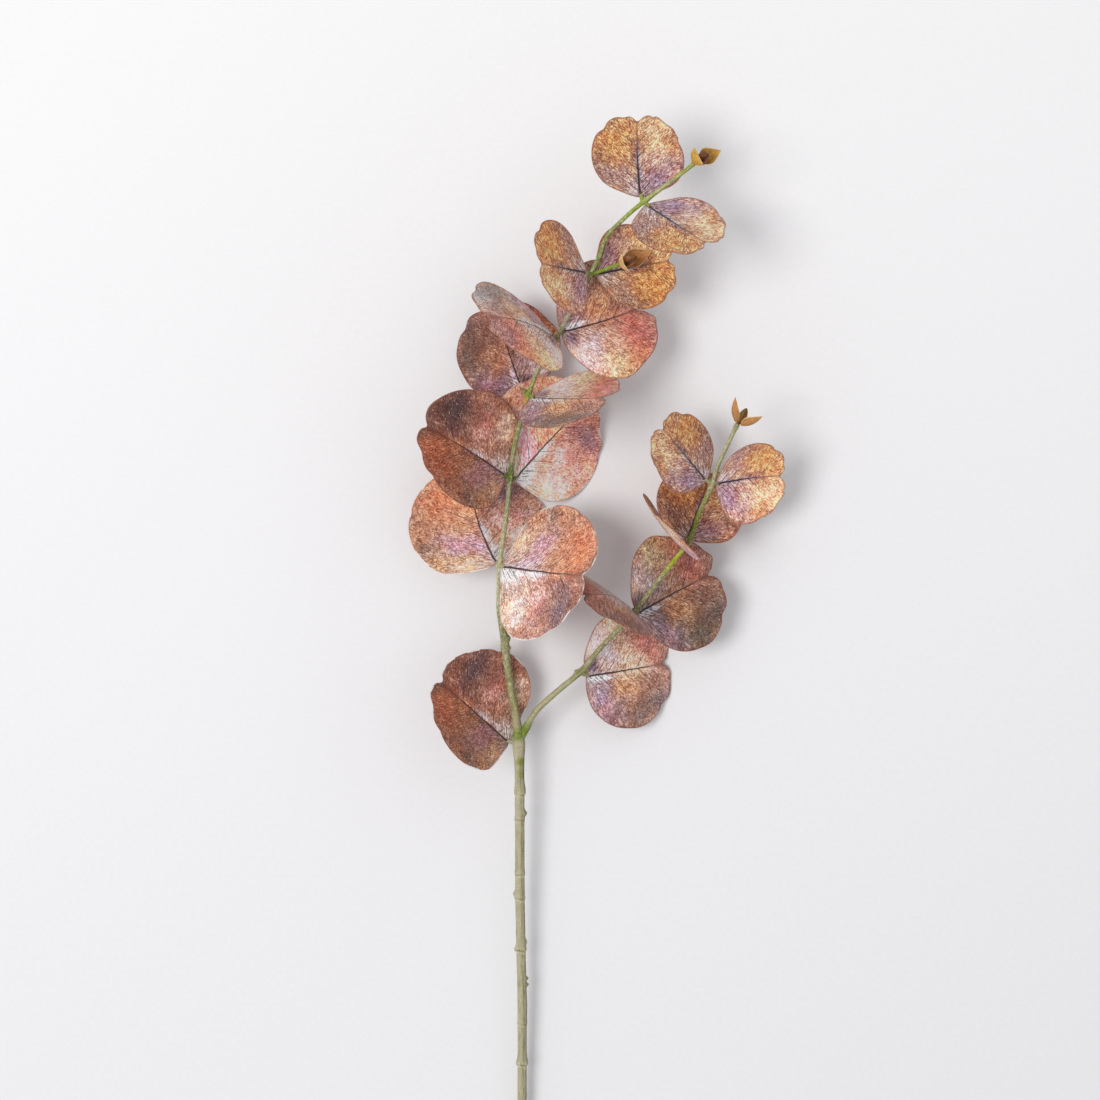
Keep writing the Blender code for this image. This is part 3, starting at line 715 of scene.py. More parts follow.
    # The rim: a rosy brown line, or on some leaves a broken white one.
    white = t.attribute("white_rim", "Fac")
    brown = t.math("MULTIPLY", t.step(rim, 1.1, 0.35, 0, 0.62), t.math("SUBTRACT", 1.0, t.math("MULTIPLY", white, 0.5)))
    colour = t.mix(brown, colour, RIM[kind])
    broken = t.step(t.noise(flat, 0.09, 1), 0.49, 0.55)
    colour = t.mix(t.math("MULTIPLY", t.step(rim, 0.62, 0.40), t.math("MULTIPLY", white, broken)), colour, rgb(244, 238, 232))
    # The back is the same cloth with the dye showing through, a little browner and finely streaked along the veins.
    streak = t.noise(t.join(t.math("MULTIPLY", q, 0.62), t.math("MULTIPLY", s, 0.16), t.math("ADD", far, 8.0)), 1.0, 5, 0.68)
    back = t.mix(0.28, tint(colour, (0.84, 0.72, 0.70)), rgb(142, 92, 74))
    back = t.mix(t.step(reach, 26, 6, 0, 0.40), back, rgb(196, 178, 178))
    back = t.mix(t.step(streak, 0.50, 0.62, 0, 0.62), back, rgb(74, 44, 42))
    back = t.mix(t.step(streak, 0.46, 0.36, 0, 0.30), back, rgb(222, 190, 172))
    colour = t.mix(under, colour, back)

    weave = t.noise(t.join(x, y, 1.0), 3.2, 2, 0.7)
    height = t.math("ADD", t.math("MULTIPLY", weave, 0.25), t.math("MULTIPLY", coarse, 1.2))
    height = t.math("ADD", height, t.step(cells, 0.02, 0.22, 0, 0.5))
    height = t.math("SUBTRACT", height, t.math("MULTIPLY", line, 0.8))
    rough = t.step(coarse, 0.3, 0.7, 0.58, 0.80)
    return t.out(
        colour,
        rough,
        t.bump(height, 0.00022, 0.8),
        Sheen_Weight=0.12,
        Sheen_Roughness=0.45,
        Specular_IOR_Level=0.4,
    )


def edge_material(name, pale, brown):
    t = Tree(name)
    place = t.put("ShaderNodeTexCoord").outputs["Object"]
    fray = t.noise(place, 1500, 2)
    colour = t.mix(t.step(fray, 0.4, 0.62), pale, brown)
    return t.out(colour, 0.9, t.bump(fray, 0.0001, 0.6))


# ---------------------------------------------------------------- stage, camera, light


def stage():
    size = 6.0
    points = np.array([(-size, -size, 0), (size, -size, 0), (size, size, 0), (-size, size, 0)])
    t = Tree("white_table")
    place = t.put("ShaderNodeTexCoord").outputs["Object"]
    speck = t.noise(place, 400, 2)
    colour = t.mix(t.step(speck, 0.35, 0.65), (0.915, 0.915, 0.92), (0.93, 0.928, 0.93))
    # Painted light falloff: the table is painted darker towards the bottom of the view, standing in for the lamp's
    # light falling off across it.
    shade = t.step(t.split(place)[1], -0.36, 0.62)
    colour = t.mix(1.0, colour, t.mix(shade, (0.86, 0.86, 0.875), (1.0, 1.0, 1.0)), "MULTIPLY")
    mat = t.out(colour, 0.7, Specular_IOR_Level=0.2)
    floor = add_mesh("table", points, [np.array([[0, 1, 2, 3]])], [mat], smooth=False)

    camera = bpy.data.objects.new("camera", bpy.data.cameras.new("camera"))
    camera.data.sensor_width = 36
    camera.data.lens = 36 * 1600 / 605
    camera.data.clip_end = 20
    camera.location = (-ORIGIN[0] * MM, -ORIGIN[1] * MM, 1.6)
    SCENE.collection.objects.link(camera)
    SCENE.camera = camera

    towards = np.array((-0.52, -0.03, 1.0))
    towards /= np.linalg.norm(towards)
    key = bpy.data.objects.new("key", bpy.data.lights.new("key", "AREA"))
    key.data.shape = "DISK"
    key.data.size = 1.7
    key.data.energy = 66.0
    key.data.color = (1.0, 0.985, 0.965)
    centre = np.array((-ORIGIN[0] * MM, -ORIGIN[1] * MM, 0.03))
    key.location = centre + towards * 3.6
    turn = math.atan2(towards[1], towards[0])
    key.rotation_euler = (0, math.acos(towards[2]), turn)
    SCENE.collection.objects.link(key)

    world = bpy.data.worlds.new("world")
    world.use_nodes = True
    world.node_tree.nodes["Background"].inputs["Color"].default_value = (0.975, 0.975, 1.0, 1)
    world.node_tree.nodes["Background"].inputs["Strength"].default_value = 0.62
    SCENE.world = world
    SCENE.view_settings.view_transform = "Standard"
    SCENE.view_settings.look = "None"


# ---------------------------------------------------------------- stems


def tube(points, sides, step, shape, caps=True):
    """A closed tube through the points. shape(place along in mm, points, angles) gives each ring's extra radius."""
    fine = spline(points, np.linspace(0, 1, 1200))
    runs = np.concatenate([[0], np.cumsum(np.linalg.norm(np.diff(fine[:, :3], axis=0), axis=1))])
    count = max(4, int(runs[-1] / step))
    at = np.linspace(0, runs[-1], count + 1)
    rows = np.stack([np.interp(at, runs, fine[:, i]) for i in range(4)], 1)
    along = np.gradient(rows[:, :3], axis=0)
    along /= np.linalg.norm(along, axis=1, keepdims=True)
    right = np.cross(along, (0, 0, 1.0))
    right /= np.linalg.norm(right, axis=1, keepdims=True)
    up = np.cross(right, along)
    angles = 360 * np.arange(sides) / sides
    c, s = np.cos(np.radians(angles)), np.sin(np.radians(angles))
    radius = rows[:, 3][:, None] + shape(rows, angles, at)
    ring = rows[:, None, :3] + radius[..., None] * (right[:, None] * c[None, :, None] + up[:, None] * s[None, :, None])
    n = len(rows)
    k = np.arange(sides)
    j = (k + 1) % sides
    quads = np.concatenate([np.stack([i * sides + k, i * sides + j, (i + 1) * sides + j, (i + 1) * sides + k], 1) for i in range(n - 1)])
    pts = ring.reshape(-1, 3)
    ends = np.stack([rows[0, :3] - along[0] * 0.12, rows[-1, :3] + along[-1] * 0.25])
    pts = np.concatenate([pts, ends])
    first = np.stack([np.full(sides, n * sides), j, k], 1)
    last = np.stack([np.full(sides, n * sides + 1), (n - 1) * sides + k, (n - 1) * sides + j], 1)
    tris = np.concatenate([first, last])
    place = np.concatenate([np.stack([np.repeat(at, sides), np.tile(angles, n), radius.ravel()], 1), [[at[0], 0, 0], [at[-1], 0, 0]]])
    return pts, tris, quads, place


def seam_angle(at):
    """Where the mould's seam runs round the stem, in degrees, at each place along it in mm."""
    return 70 + 14 * value_noise(np.c_[at / 34, at * 0 + 3.3], 77)


def bumps(collars, knobs, seed, rough=0.06, seam=None, flash=()):
    """Extra radius round a stem: collars that flare and stop short, knobs, a seam, mould flash, grooves, roughness."""

    def shape(rows, angles, at):
        y = rows[:, 1]
        extra = np.zeros((len(rows), len(angles)))
        for place, more, above, below in collars:
            d = y - place
            extra += (more * np.exp(-((d / np.where(d > 0, above, below)) ** 2)))[:, None]
        for place, bearing, more, half, spread in knobs:
            off = (angles - bearing + 180) % 360 - 180
            extra += more * np.exp(-(((y - place) / half) ** 2))[:, None] * np.exp(-((off / spread) ** 2))[None]
        for low, high, bearing, more in flash:
            off = (angles - bearing + 180) % 360 - 180
            on = np.clip((y - low) / 2, 0, 1) * np.clip((high - y) / 2, 0, 1)
            on = on * more * np.clip(0.6 + 0.8 * value_noise(np.c_[at / 1.1, at * 0 + bearing], seed + 5), 0, 2)
            extra += on[:, None] * np.exp(-((off / 10) ** 2))[None]
        if seam is not None:
            low, high, depth = seam
            on = np.clip((y - low) / 4, 0, 1) * np.clip((high - y) / 4, 0, 1)
            off = (angles[None] - seam_angle(at)[:, None] + 180) % 360 - 180
            extra += (-depth * on)[:, None] * np.exp(-((off / 11) ** 2)) + (0.5 * depth * on)[:, None] * np.exp(-(((off + 26) / 15) ** 2))
        ca, sa = np.cos(np.radians(angles)), np.sin(np.radians(angles))
        drift = 40 * value_noise(np.c_[at / 30, at * 0 + 1.7], seed + 3)
        extra += 0.35 * rough * np.cos(np.radians(9 * (angles[None] + drift[:, None])))
        pts = np.stack(
            [np.repeat(at, len(angles)) / 2.2, np.tile(ca * 1.4, len(rows)) + 7, np.tile(sa * 1.4, len(rows)) + 7], 1
        )
        extra += rough * value_noise(pts, seed).reshape(extra.shape)
        extra += rough * 0.7 * value_noise(pts * 2.6, seed + 1).reshape(extra.shape)
        return extra

    return shape


def stem_material(name):
    t = Tree(name)
    colour = t.attribute("paint", "Color")
    flock = t.attribute("flock", "Fac")
    at, angle, radius = t.split(t.attribute("stem_mm"))
    turn = t.math("RADIANS", angle)
    c, s = t.math("COSINE", turn), t.math("SINE", turn)
    place = t.put("ShaderNodeTexCoord").outputs["Object"]
    streaks = t.noise(t.join(t.math("MULTIPLY", c, 2.6), t.math("MULTIPLY", s, 2.6), t.math("MULTIPLY", at, 0.13)), 1.0, 4, 0.62)
    blots = t.noise(t.join(t.math("MULTIPLY", c, 1.5), t.math("MULTIPLY", s, 1.5), t.math("MULTIPLY", at, 0.62)), 1.0, 4, 0.65)
    grain = t.noise(place, 1500, 3, 0.65)

    def dye(value, low, high, most, colour, other):
        return t.mix(t.step(value, low, high, 0, most), colour, other)

    dark = t.mix(1.0, colour, (0.42, 0.40, 0.30), "MULTIPLY")
    colour = dye(streaks, 0.52, 0.66, 0.50, colour, dark)
    colour = dye(streaks, 0.46, 0.34, 0.40, colour, t.mix(0.5, colour, rgb(222, 218, 190)))
    colour = t.mix(t.math("MULTIPLY", t.step(blots, 0.50, 0.62), t.math("MULTIPLY", flock, 0.55)), colour, dark)
    pale = t.mix(0.5, colour, rgb(236, 236, 206))
    colour = t.mix(t.math("MULTIPLY", t.step(blots, 0.47, 0.36), t.math("MULTIPLY", flock, 0.85)), colour, pale)
    colour = dye(grain, 0.55, 0.68, 0.45, colour, t.mix(0.5, colour, rgb(230, 228, 200)))
    colour = dye(grain, 0.44, 0.32, 0.35, colour, rgb(84, 78, 44))
    height = t.math("ADD", grain, t.math("MULTIPLY", streaks, 1.6))
    return t.out(colour, t.step(grain, 0.3, 0.7, 0.6, 0.9), t.bump(height, 0.00025, 0.9), Specular_IOR_Level=0.3)


def zone_paint(pts, place, ground, zones, collars=(), seam=None, flash=()):
    """Stem colours by place: zones are (point on the stem, half length, colour, strength)."""
    colour = np.tile(np.array(rgb(*ground)), (len(pts), 1))

    def dye(share, value):
        nonlocal colour
        colour = colour * (1 - share[:, None]) + np.array(rgb(*value)) * share[:, None]

    for centre, half, value, strength in zones:
        d = np.linalg.norm(pts - np.array(centre), axis=1) / half
        dye(strength * np.exp(-(d**4)), value)
    at, angle = place[:, 0], place[:, 1]
    # Painted shade: the stems' right flank, turned away from the key light, is painted darker.
    painted_flank_shade = np.clip(np.cos(np.radians(angle + 6)), 0, 1) ** 1.2
    colour = colour * (1 - painted_flank_shade[:, None] * np.array((0.42, 0.43, 0.50)))
    if seam is not None:
        low, high, depth = seam
        on = np.clip((pts[:, 1] - low) / 4, 0, 1) * np.clip((high - pts[:, 1]) / 4, 0, 1)
        off = (angle - seam_angle(at) + 180) % 360 - 180
        patchy = np.clip(0.65 + 0.7 * value_noise(np.c_[at / 5, at * 0 + 9.1], 55), 0.15, 1)
        dye(0.62 * on * patchy * np.exp(-((off / 9) ** 2)), (92, 84, 56))
    for low, high, bearing, more in flash:
        off = (angle - bearing + 180) % 360 - 180
        on = np.clip((pts[:, 1] - low) / 2, 0, 1) * np.clip((high - pts[:, 1]) / 2, 0, 1)
        dye(0.8 * on * np.exp(-((off / 20) ** 2)), (156, 152, 44))
    uneven = 0.35 * np.sin(np.radians(2 * angle)) + 0.5 * value_noise(np.c_[angle / 40, at / 9], 63)
    gaps = np.clip(0.75 + 1.3 * value_noise(np.c_[angle / 28, at / 7], 64), 0.1, 1)
    for y, more, above, below in collars:
        if below > 0.7:
            continue
        d = pts[:, 1] - y + uneven
        strong = (np.abs(pts[:, 1] - y) < 4) * min(1.0, 0.5 + more * 0.5)
        dye(strong * 0.40 * np.exp(-(((d - 0.9) / 0.8) ** 2)), (200, 194, 158))
        dye(strong * 0.60 * np.exp(-(((d + 1.35) / 0.60) ** 2)), (212, 206, 172))
        dye(strong * 0.75 * gaps * np.exp(-(((d + 0.40) / 0.38) ** 2)), (78, 68, 44))
    return colour


def petiole(leaf, axis_point, radius=1.25):
    """The thick short collar from the stem's middle to just inside the leaf's base."""
    end = leaf_world(bend(np.array([0.0]), np.array([1.6]), leaf), leaf)[0] / MM + ORIGIN
    start = np.asarray(axis_point, float)
    middle = (start + end) / 2 + np.array((0, 0, 0.25))
    seed = 300 + int(leaf[0][-2:])

    def rough(rows, angles, at):
        pts = np.stack([np.repeat(at, len(angles)) / 0.9, np.tile(np.cos(np.radians(angles)), len(rows)) + 4,
                        np.tile(np.sin(np.radians(angles)), len(rows)) + 4], 1)
        return 0.14 * value_noise(pts, seed).reshape(len(rows), len(angles))

    pts = [(*start, radius * 1.1), (*middle, radius), (*end, radius * 0.58)]
    return tube(pts, 16, 0.35, rough)


def nearest_on(points, target):
    path = spline(points, np.linspace(0, 1, 2000))[:, :3]
    return path[np.argmin(np.linalg.norm(path - np.asarray(target), axis=1))]


def merged(parts):
    pts, tris, quads, place, n = [], [], [], [], 0
    for p, t, q, a in parts:
        pts.append(p)
        tris.append(t + n)
        quads.append(q + n)
        place.append(a)
        n += len(p)
    return np.concatenate(pts), np.concatenate(tris), np.concatenate(quads), np.concatenate(place)


def add_stem(name, node, parts, ground, zones, mat, flock, collars=(), seam=None, flash=()):
    """parts[0] is the stem, the others are the leaves' collars; flock(y) says how mottled the stem is."""
    pts, tris, quads, place = merged(parts)
    colour = zone_paint(pts, place, ground, zones, collars, seam, flash)
    obj = add_mesh(
        name,
        (pts - ORIGIN) * MM,
        [tris[:, ::-1], quads[:, ::-1]],
        [mat],
        None,
        {"paint": np.c_[colour, np.ones(len(pts))], "stem_mm": place, "flock": flock(pts[:, 1])},
    )
    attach(obj, "root")
    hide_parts(node)


# Collars: place along y, how far they stand out, how long they fade above and below.
MAIN_COLLARS = (
    (-132.2, 0.50, 3.0, 0.45), (-146.6, 0.25, 1.6, 0.45), (-176.4, 0.30, 2.6, 0.45), (-189.6, 0.35, 1.6, 0.45),
    (-218.0, 0.60, 2.0, 0.50), (-258.6, 0.25, 2.4, 0.45), (-281.0, 0.85, 3.6, 0.50), (-330.0, 0.50, 3.0, 0.50),
    (-385.0, 0.60, 4.0, 0.50), (-105.0, 0.95, 5.5, 8.0),
    (-53.0, 0.30, 2.0, 1.5), (15.5, 0.30, 0.9, 0.9), (-8.6, 0.35, 1.6, 1.6), (39.5, 0.50, 3.4, 1.8), (81.5, 0.55, 2.2, 2.2),
    (113.8, 0.35, 1.6, 1.6), (146.0, 0.40, 1.8, 1.8), (185.0, 0.45, 2.2, 1.6), (204.6, 0.55, 1.4, 1.4),
)
MAIN_KNOBS = (
    (-129.5, 10, 0.45, 3.0, 60), (-143.0, 0, 1.5, 1.6, 42), (-187.0, 180, 1.3, 1.5, 40), (-217.0, 180, 0.6, 1.6, 50),
    (-213.6, 0, 0.9, 1.8, 44), (-233.6, 0, 1.3, 1.0, 36), (-237.0, 0, 1.4, 1.1, 36), (-248.0, 0, 0.35, 8.0, 40),
    (-298.0, 20, 0.35, 1.2, 30), (-48.0, 10, 1.6, 2.2, 44), (-53.4, 0, 1.0, 1.0, 36), (-8.6, 180, 1.0, 1.1, 40),
)
MAIN_SEAM = (-357.0, -112.0, 0.20)
MAIN_FLASH = ((-84.0, -46.0, 0, 0.30), (-84.0, -50.0, 180, 0.24))


def flare(points, nut):
    """The flared end of a stalk, which holds the foot of its capsule."""
    name, end, bearing, pitch, core = nut[:5]
    axis = nut_axes(core[0], core[1], 0)[2]
    start, radius = np.array(points[-1][:3]), points[-1][3]
    end = np.array(end)
    way = (end - start) / np.linalg.norm(end - start)
    path = [(*(start - way * 0.9), radius * 0.9), (*start, radius * 1.08), (*(end + axis * 0.25), radius * 1.38),
            (*(end + axis * 0.95), radius * 1.30)]
    return tube(path, 28, 0.14, lambda rows, angles, at: 0.03 * np.cos(np.radians(angles * 6))[None] * np.ones((len(rows), 1)))


def stems():
    by_name = {leaf[0]: leaf for leaf in LEAVES}
    main = [tube(MAIN_STEM, 48, 0.55, bumps(MAIN_COLLARS, MAIN_KNOBS, 21, 0.06, MAIN_SEAM, MAIN_FLASH))]
    for name in ("leaf_01", "leaf_02", "leaf_03", "leaf_04", "leaf_05", "leaf_06", "leaf_07", "leaf_08", "leaf_09", "leaf_10",
                 "leaf_11", "leaf_12", "leaf_13"):
        thick = 1.5 if name in ("leaf_12", "leaf_13") else 1.25
        main.append(petiole(by_name[name], nearest_on(MAIN_STEM, by_name[name][3]), thick))
    main.append(flare(MAIN_STEM, GUM_NUTS[0]))
    mat = stem_material("flocked_stem")
    add_stem(
        "flocked_main_stem", "main_stem", main, (176, 170, 138),
        (
            ((-15.3, -330, 8), 140, (172, 166, 136), 0.6),
            ((-17.5, -84.0, 25), 3.6, (118, 130, 28), 0.85),
            ((-15.6, -115, 23), 2.6, (122, 134, 22), 0.9),
            ((-14.6, -121, 22), 3.2, (128, 130, 42), 0.9),
            ((-17.6, -99.8, 24), 3.9, (110, 134, 8), 1.0),
            ((-21, -76, 24), 19, (150, 142, 92), 0.8),
            ((-26.5, -40, 27), 14, (132, 134, 72), 0.7),
            ((-27, -10, 30), 22, (196, 192, 150), 0.85),
            ((-23, 22, 32), 12, (168, 172, 124), 0.8),
            ((-21.5, 40.5, 36), 6.5, (92, 110, 14), 1.0),
            ((-17, 63, 38), 14, (142, 152, 78), 0.85),
            ((-12.8, 84, 40), 11, (136, 150, 36), 0.9),
            ((-13.2, 80.2, 40), 1.9, (214, 146, 44), 0.85),
            ((1, 110, 46), 10, (110, 98, 44), 0.8),
            ((19, 142, 51), 9, (104, 104, 44), 0.85),
            ((29, 162, 55), 17, (130, 142, 44), 0.85),
            ((45, 181, 59), 10, (158, 178, 38), 0.9),
            ((58, 190, 61), 8, (178, 186, 104), 0.85),
            ((72, 201, 64), 9, (164, 180, 62), 0.85),
        ),
        mat,
        lambda y: np.clip((y + 120) / 60, 0.12, 1),
        MAIN_COLLARS, MAIN_SEAM, MAIN_FLASH,
    )
    branch_collars = (
        (-66.3, 0.35, 2.0, 1.4), (-60.0, 0.25, 0.9, 0.9), (-33.9, 0.40, 2.0, 1.4), (5.0, 0.35, 2.0, 1.6),
        (33.0, 0.50, 2.0, 2.4), (-95.5, 0.40, 2.0, 4.0), (66.2, 0.65, 1.6, 1.6),
    )
    branch_knobs = ((-67.0, 165, 1.1, 1.0, 40), (-63.5, -10, 1.2, 1.4, 40), (-34.0, 200, 0.7, 1.6, 50))
    side = [tube(SIDE_BRANCH, 36, 0.5, bumps(branch_collars, branch_knobs, 31))]
    for name in ("leaf_14", "leaf_15", "leaf_16", "leaf_17", "leaf_18", "leaf_19", "leaf_20"):
        side.append(petiole(by_name[name], nearest_on(SIDE_BRANCH, by_name[name][3])))
    side.append(flare(SIDE_BRANCH, GUM_NUTS[2]))
    add_stem(
        "flocked_side_branch", "side_branch", side, (172, 168, 128),
        (
            ((-13.5, -97.5, 23), 4.2, (112, 134, 8), 1.0),
            ((-2, -83, 23), 11, (178, 172, 130), 0.7),
            ((16, -66, 25.5), 5, (134, 134, 72), 0.7),
            ((30, -50, 28), 13, (142, 138, 84), 0.7),
            ((46, -32, 31), 7, (112, 108, 58), 0.8),
            ((54, -21, 33), 9, (150, 146, 96), 0.8),
            ((67, -5, 36), 9.5, (172, 184, 24), 1.0),
            ((73.5, 4.5, 37.5), 3.5, (112, 112, 48), 0.85),
            ((78, 14, 38.5), 10, (128, 138, 16), 1.0),
            ((83, 27, 40.5), 5, (140, 150, 66), 0.85),
            ((86, 33, 41.5), 4, (166, 160, 110), 0.85),
            ((94, 54, 45), 14, (186, 184, 140), 0.85),
        ),
        mat,
        lambda y: np.clip((y + 90) / 40, 0.3, 1),
        branch_collars,
    )
    stalk_collars = ((151.4, 0.45, 1.2, 1.2),)
    add_stem(
        "flocked_bud_stalk", "bud_stalk",
        [tube(BUD_STALK, 24, 0.35, bumps((), (), 41, 0.05)), flare(BUD_STALK, GUM_NUTS[1])], (136, 162, 24),
        (((22, 147, 52), 3, (96, 104, 44), 0.7), ((36, 151, 57), 2, (176, 160, 84), 0.7)),
        mat,
        lambda y: 0.45 + 0 * y,
        stalk_collars,
    )


# ---------------------------------------------------------------- gum nuts


def nut_axes(bearing, pitch, turn):
    a, p = rad(bearing), rad(pitch)
    z = np.array((math.cos(p) * math.cos(a), math.cos(p) * math.sin(a), math.sin(p)))
    x = np.array((math.sin(a), -math.cos(a), 0.0))
    y = np.cross(z, x)
    t = rad(turn)
    right = x * math.cos(t) + y * math.sin(t)
    return np.stack([right, np.cross(z, right), z])


def valve_mesh(spread, length, half_width, wrap, rows=40, columns=12, thick=0.55):
    """A pointed boat-shaped valve, closed, with a thin rim; gives points, faces and where each point is on it."""
    x, z = VALVE_START
    middle, leans = [], []
    for row in range(rows + 1):
        u = row / rows
        lean = rad(spread + 24 - 42 * u)
        if row:
            x += length / rows * math.sin(lean)
            z += length / rows * math.cos(lean)
        middle.append((x, 0.0, z))
        leans.append(lean)
    middle, leans = np.array(middle), np.array(leans)
    u = np.linspace(0, 1, rows + 1)
    half = half_width * (0.22 + 0.78 * np.sin(np.pi * np.minimum(1, u / 0.9) ** 0.8) ** 0.9)
    late = half_width * np.maximum(np.cos(np.pi / 2 * np.clip((u - 0.3) / 0.7, 0, 1)), 0) ** 0.9
    half = np.where(u > 0.55, late, half)
    half = np.maximum(half, 0.12)
    cup = rad(wrap)
    v = np.linspace(-1, 1, 2 * columns + 1)
    bow = half / math.sin(cup)
    inward = np.stack([-np.cos(leans), np.zeros_like(leans), np.sin(leans)], 1)
    sheet = middle[:, None] + inward[:, None] * (bow[:, None] * (1 - np.cos(cup * v))[None])[..., None]
    sheet[..., 1] += bow[:, None] * np.sin(cup * v)[None]
    rib = 0.10 * np.cos(v * np.pi * 5)[None] * np.sin(np.pi * u)[:, None]
    normal = inward[:, None] * np.cos(cup * v)[None, :, None] - np.array((0, 1.0, 0)) * np.sin(cup * v)[None, :, None]
    wall = thick * (0.35 + 0.65 * (1 - np.abs(v) ** 4))[None] * (0.5 + 0.5 * np.sin(np.pi * np.clip(u, 0.05, 0.95)))[:, None]
    inner = sheet + normal * (wall / 2)[..., None]
    outer = sheet - normal * ((wall / 2) + rib)[..., None]
    m = len(v)
    n = (rows + 1) * m
    idx = np.arange(n).reshape(rows + 1, m)
    q = np.stack([idx[:-1, :-1], idx[:-1, 1:], idx[1:, 1:], idx[1:, :-1]], -1).reshape(-1, 4)
    loop = np.concatenate([idx[0, :], idx[1:, -1], idx[-1, -2::-1], idx[-2:0:-1, 0]])
    nxt = np.roll(loop, -1)
    rim = np.stack([loop, nxt, nxt + n, loop + n], 1)
    faces = np.concatenate([q, q[:, ::-1] + n, rim[:, ::-1]])
    pts = np.concatenate([inner.reshape(-1, 3), outer.reshape(-1, 3)])
    info = np.stack([np.tile(np.repeat(u, m), 2), np.tile(np.tile(np.abs(v), rows + 1), 2), np.concatenate([np.ones(n), np.zeros(n)])], 1)
    return pts, faces, info


def core_points(length, radius, rows=36, sides=60):
    u = 1 - (1 - np.linspace(0, 1, rows + 1)[:-1]) ** 1.3
    low = 0.25 + 0.75 * np.sin(np.pi / 2 * np.minimum(u / 0.45, 1)) ** 1.8
    r = radius * np.where(u < 0.45, low, np.cos(np.pi / 2 * np.clip((u - 0.45) / 0.55, 0, 1)) ** 0.65)
    angle = 2 * np.pi * np.arange(sides) / sides
    valley = (0.5 - 0.5 * np.cos(CORE_LOBES * angle)) ** 10
    ridge = 1 + 0.1 * np.cos(CORE_LOBES * angle)[None] + 0.03 * np.cos(angle * 15)[None] * np.sin(np.pi * u)[:, None]
    ridge = ridge - 0.1 * valley[None] * np.sin(np.pi * u)[:, None]
    rr = r[:, None] * ridge
    pts = np.stack([rr * np.cos(angle)[None], rr * np.sin(angle)[None], np.repeat((u * length)[:, None], sides, 1)], -1).reshape(-1, 3)
    pts = np.concatenate([pts, [(0, 0, length), (0, 0, -0.1)]])
    k = np.arange(sides)
    j = (k + 1) % sides
    quads = np.concatenate([np.stack([i * sides + k, i * sides + j, (i + 1) * sides + j, (i + 1) * sides + k], 1) for i in range(rows - 1)])
    last = (rows - 1) * sides
    tris = np.concatenate([np.stack([last + k, last + j, np.full(sides, rows * sides)], 1), np.stack([j, k, np.full(sides, rows * sides + 1)], 1)])
    info = np.concatenate([np.stack([np.repeat(u, sides), np.tile(angle, rows), np.zeros(rows * sides)], 1), [(1, 0, 0), (0, 0, 0)]])
    return pts, tris, quads, info


# Colours of each capsule: valve outside at its foot and tip, inside at its foot and tip, core light and dark.
NUT_DYES = {
    "a": ((200, 148, 58), (220, 176, 76), (150, 104, 40), (216, 164, 66), (146, 92, 56), (66, 34, 20)),
    "b": ((222, 170, 112), (232, 190, 136), (150, 100, 28), (224, 160, 104), (162, 108, 68), (82, 48, 26)),
    "c": ((182, 128, 78), (204, 144, 84), (158, 108, 50), (214, 164, 78), (168, 130, 66), (88, 58, 30)),
}


def valve_material():
    t = Tree("gum_nut_shell")
    along, across, inside = t.split(t.attribute("valve"))
    place = t.put("ShaderNodeTexCoord").outputs["Object"]
    mottle = t.noise(place, 420, 4, 0.6)
    grain = t.noise(place, 1800, 2, 0.6)
    fibres = t.noise(t.join(t.math("MULTIPLY", across, 9.0), t.math("MULTIPLY", along, 1.6), inside), 1.0, 3, 0.6)
    colour = t.attribute("dye", "Color")
    brown = t.mix(1.0, colour, (0.50, 0.40, 0.32), "MULTIPLY")
    colour = t.mix(t.step(mottle, 0.50, 0.66, 0, 0.55), colour, brown)
    colour = t.mix(t.step(fibres, 0.52, 0.64, 0, 0.6), colour, brown)
    colour = t.mix(t.step(fibres, 0.46, 0.36, 0, 0.3), colour, rgb(238, 204, 140))
    colour = t.mix(t.step(across, 0.84, 0.95, 0, 0.75), colour, rgb(240, 212, 156))
    colour = t.mix(t.step(grain, 0.56, 0.7, 0, 0.35), colour, rgb(236, 208, 156))
    height = t.math("ADD", fibres, t.math("MULTIPLY", grain, 0.4))
    return t.out(colour, t.step(mottle, 0.3, 0.7, 0.5, 0.75), t.bump(height, 0.0002, 0.7), Specular_IOR_Level=0.35)


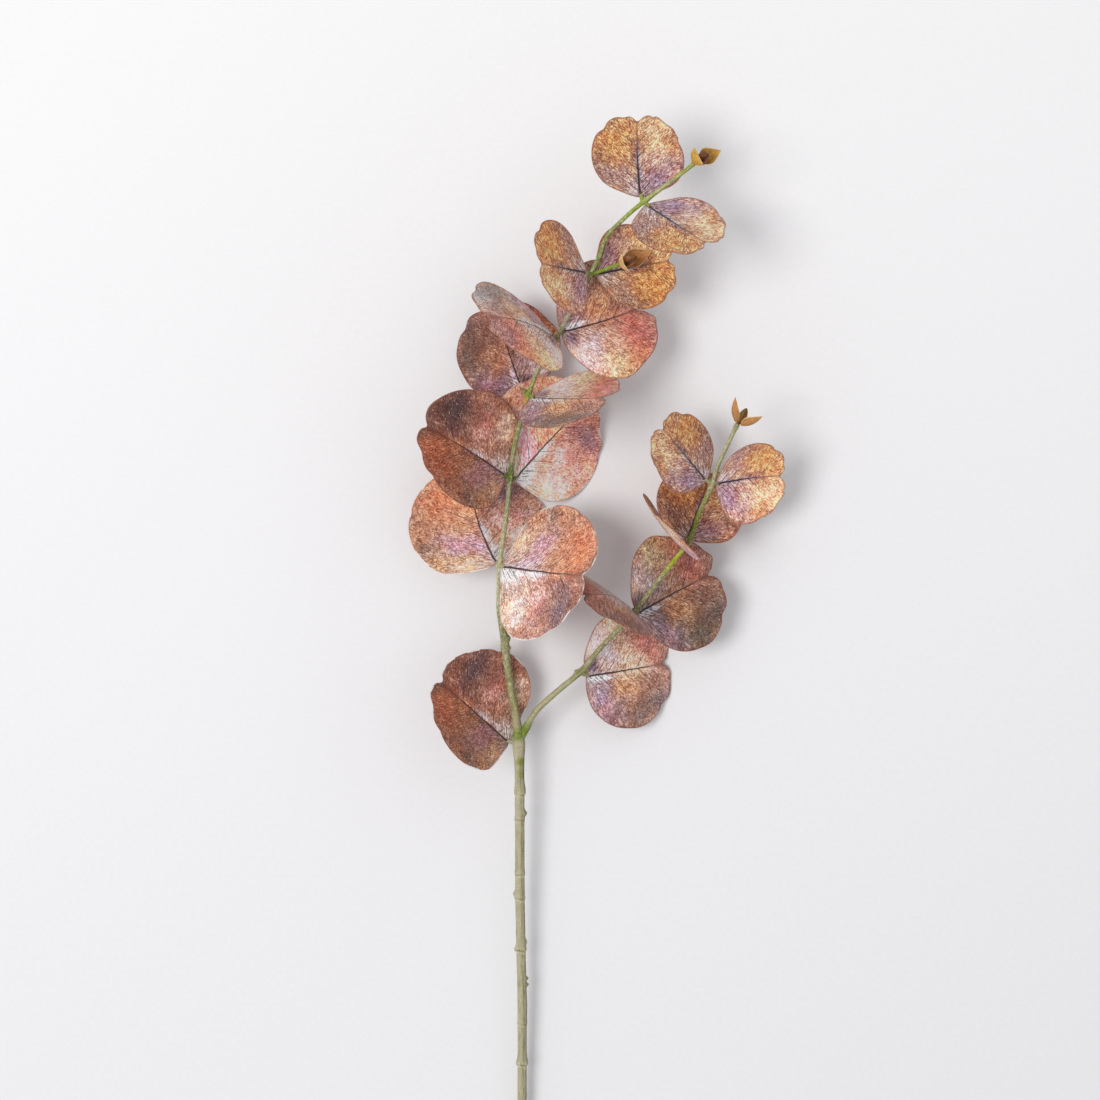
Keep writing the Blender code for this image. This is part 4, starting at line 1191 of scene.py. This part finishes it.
def core_material():
    t = Tree("gum_nut_core")
    along, angle, _ = t.split(t.attribute("core"))
    place = t.put("ShaderNodeTexCoord").outputs["Object"]
    mottle = t.noise(place, 500, 4, 0.6)
    seam = t.noise(t.join(t.math("MULTIPLY", angle, 2.2), t.math("MULTIPLY", along, 1.5)), 1.0, 3, 0.6)
    colour = t.attribute("dye", "Color")
    dark = t.mix(1.0, colour, (0.30, 0.24, 0.22), "MULTIPLY")
    colour = t.mix(t.step(seam, 0.50, 0.62, 0, 0.75), colour, dark)
    colour = t.mix(t.step(mottle, 0.54, 0.68, 0, 0.5), colour, rgb(170, 124, 80))
    return t.out(colour, 0.68, t.bump(t.math("ADD", mottle, seam), 0.00025, 0.8), Specular_IOR_Level=0.3)


def gum_nuts():
    shell, kernel = valve_material(), core_material()
    for name, end, bearing, pitch, core, left, right in GUM_NUTS:
        end = np.array(end)
        pts, tris, quads, info = core_points(*core[2:])
        world = (end - ORIGIN + pts @ nut_axes(core[0], core[1], 0)) * MM
        dyes = [np.array(rgb(*value)) for value in NUT_DYES[name[-1]]]
        groove = (0.5 - 0.5 * np.cos(CORE_LOBES * info[:, 1])) ** 3
        share = np.clip(0.15 + 0.85 * groove + 0.4 * (info[:, 0] < 0.25), 0, 1)[:, None]
        paint_core = np.c_[dyes[4] * (1 - share) + dyes[5] * share, np.ones(len(pts))]
        obj = add_mesh("seed_core_" + name[-1], world, [tris, quads], [kernel], None, {"core": info, "dye": paint_core})
        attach(obj, "root")
        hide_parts(name + "_core")
        for side, (turn, spread, length, half_width, wrap) in (("valve_left", left), ("valve_right", right)):
            pts, faces, info = valve_mesh(spread, length, half_width, wrap)
            world = (end - ORIGIN + pts @ nut_axes(bearing, pitch, turn)) * MM
            u, within = info[:, :1], info[:, 2:]
            outside, inside = dyes[0] * (1 - u) + dyes[1] * u, dyes[2] * (1 - u) + dyes[3] * u
            paint_valve = np.c_[outside * (1 - within) + inside * within, np.ones(len(pts))]
            obj = add_mesh("seed_" + side + "_" + name[-1], world, [faces], [shell], None, {"valve": info, "dye": paint_valve})
            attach(obj, "root")
            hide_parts(name + "_" + side)


# ---------------------------------------------------------------- all of it


def main():
    stage()
    mats = {kind: leaf_material(kind) for kind in PRINTS}
    brown = edge_material("brown_cut_edge", rgb(190, 142, 112), rgb(138, 82, 62))
    white = edge_material("white_cut_edge", rgb(246, 240, 234), rgb(214, 188, 170))
    for i, leaf in enumerate(LEAVES):
        leaf_mesh(leaf, 100 + 7 * i, [mats[KIND[leaf[1]]], white if leaf[0] in WHITE_RIMS else brown])
    stems()
    gum_nuts()


main()
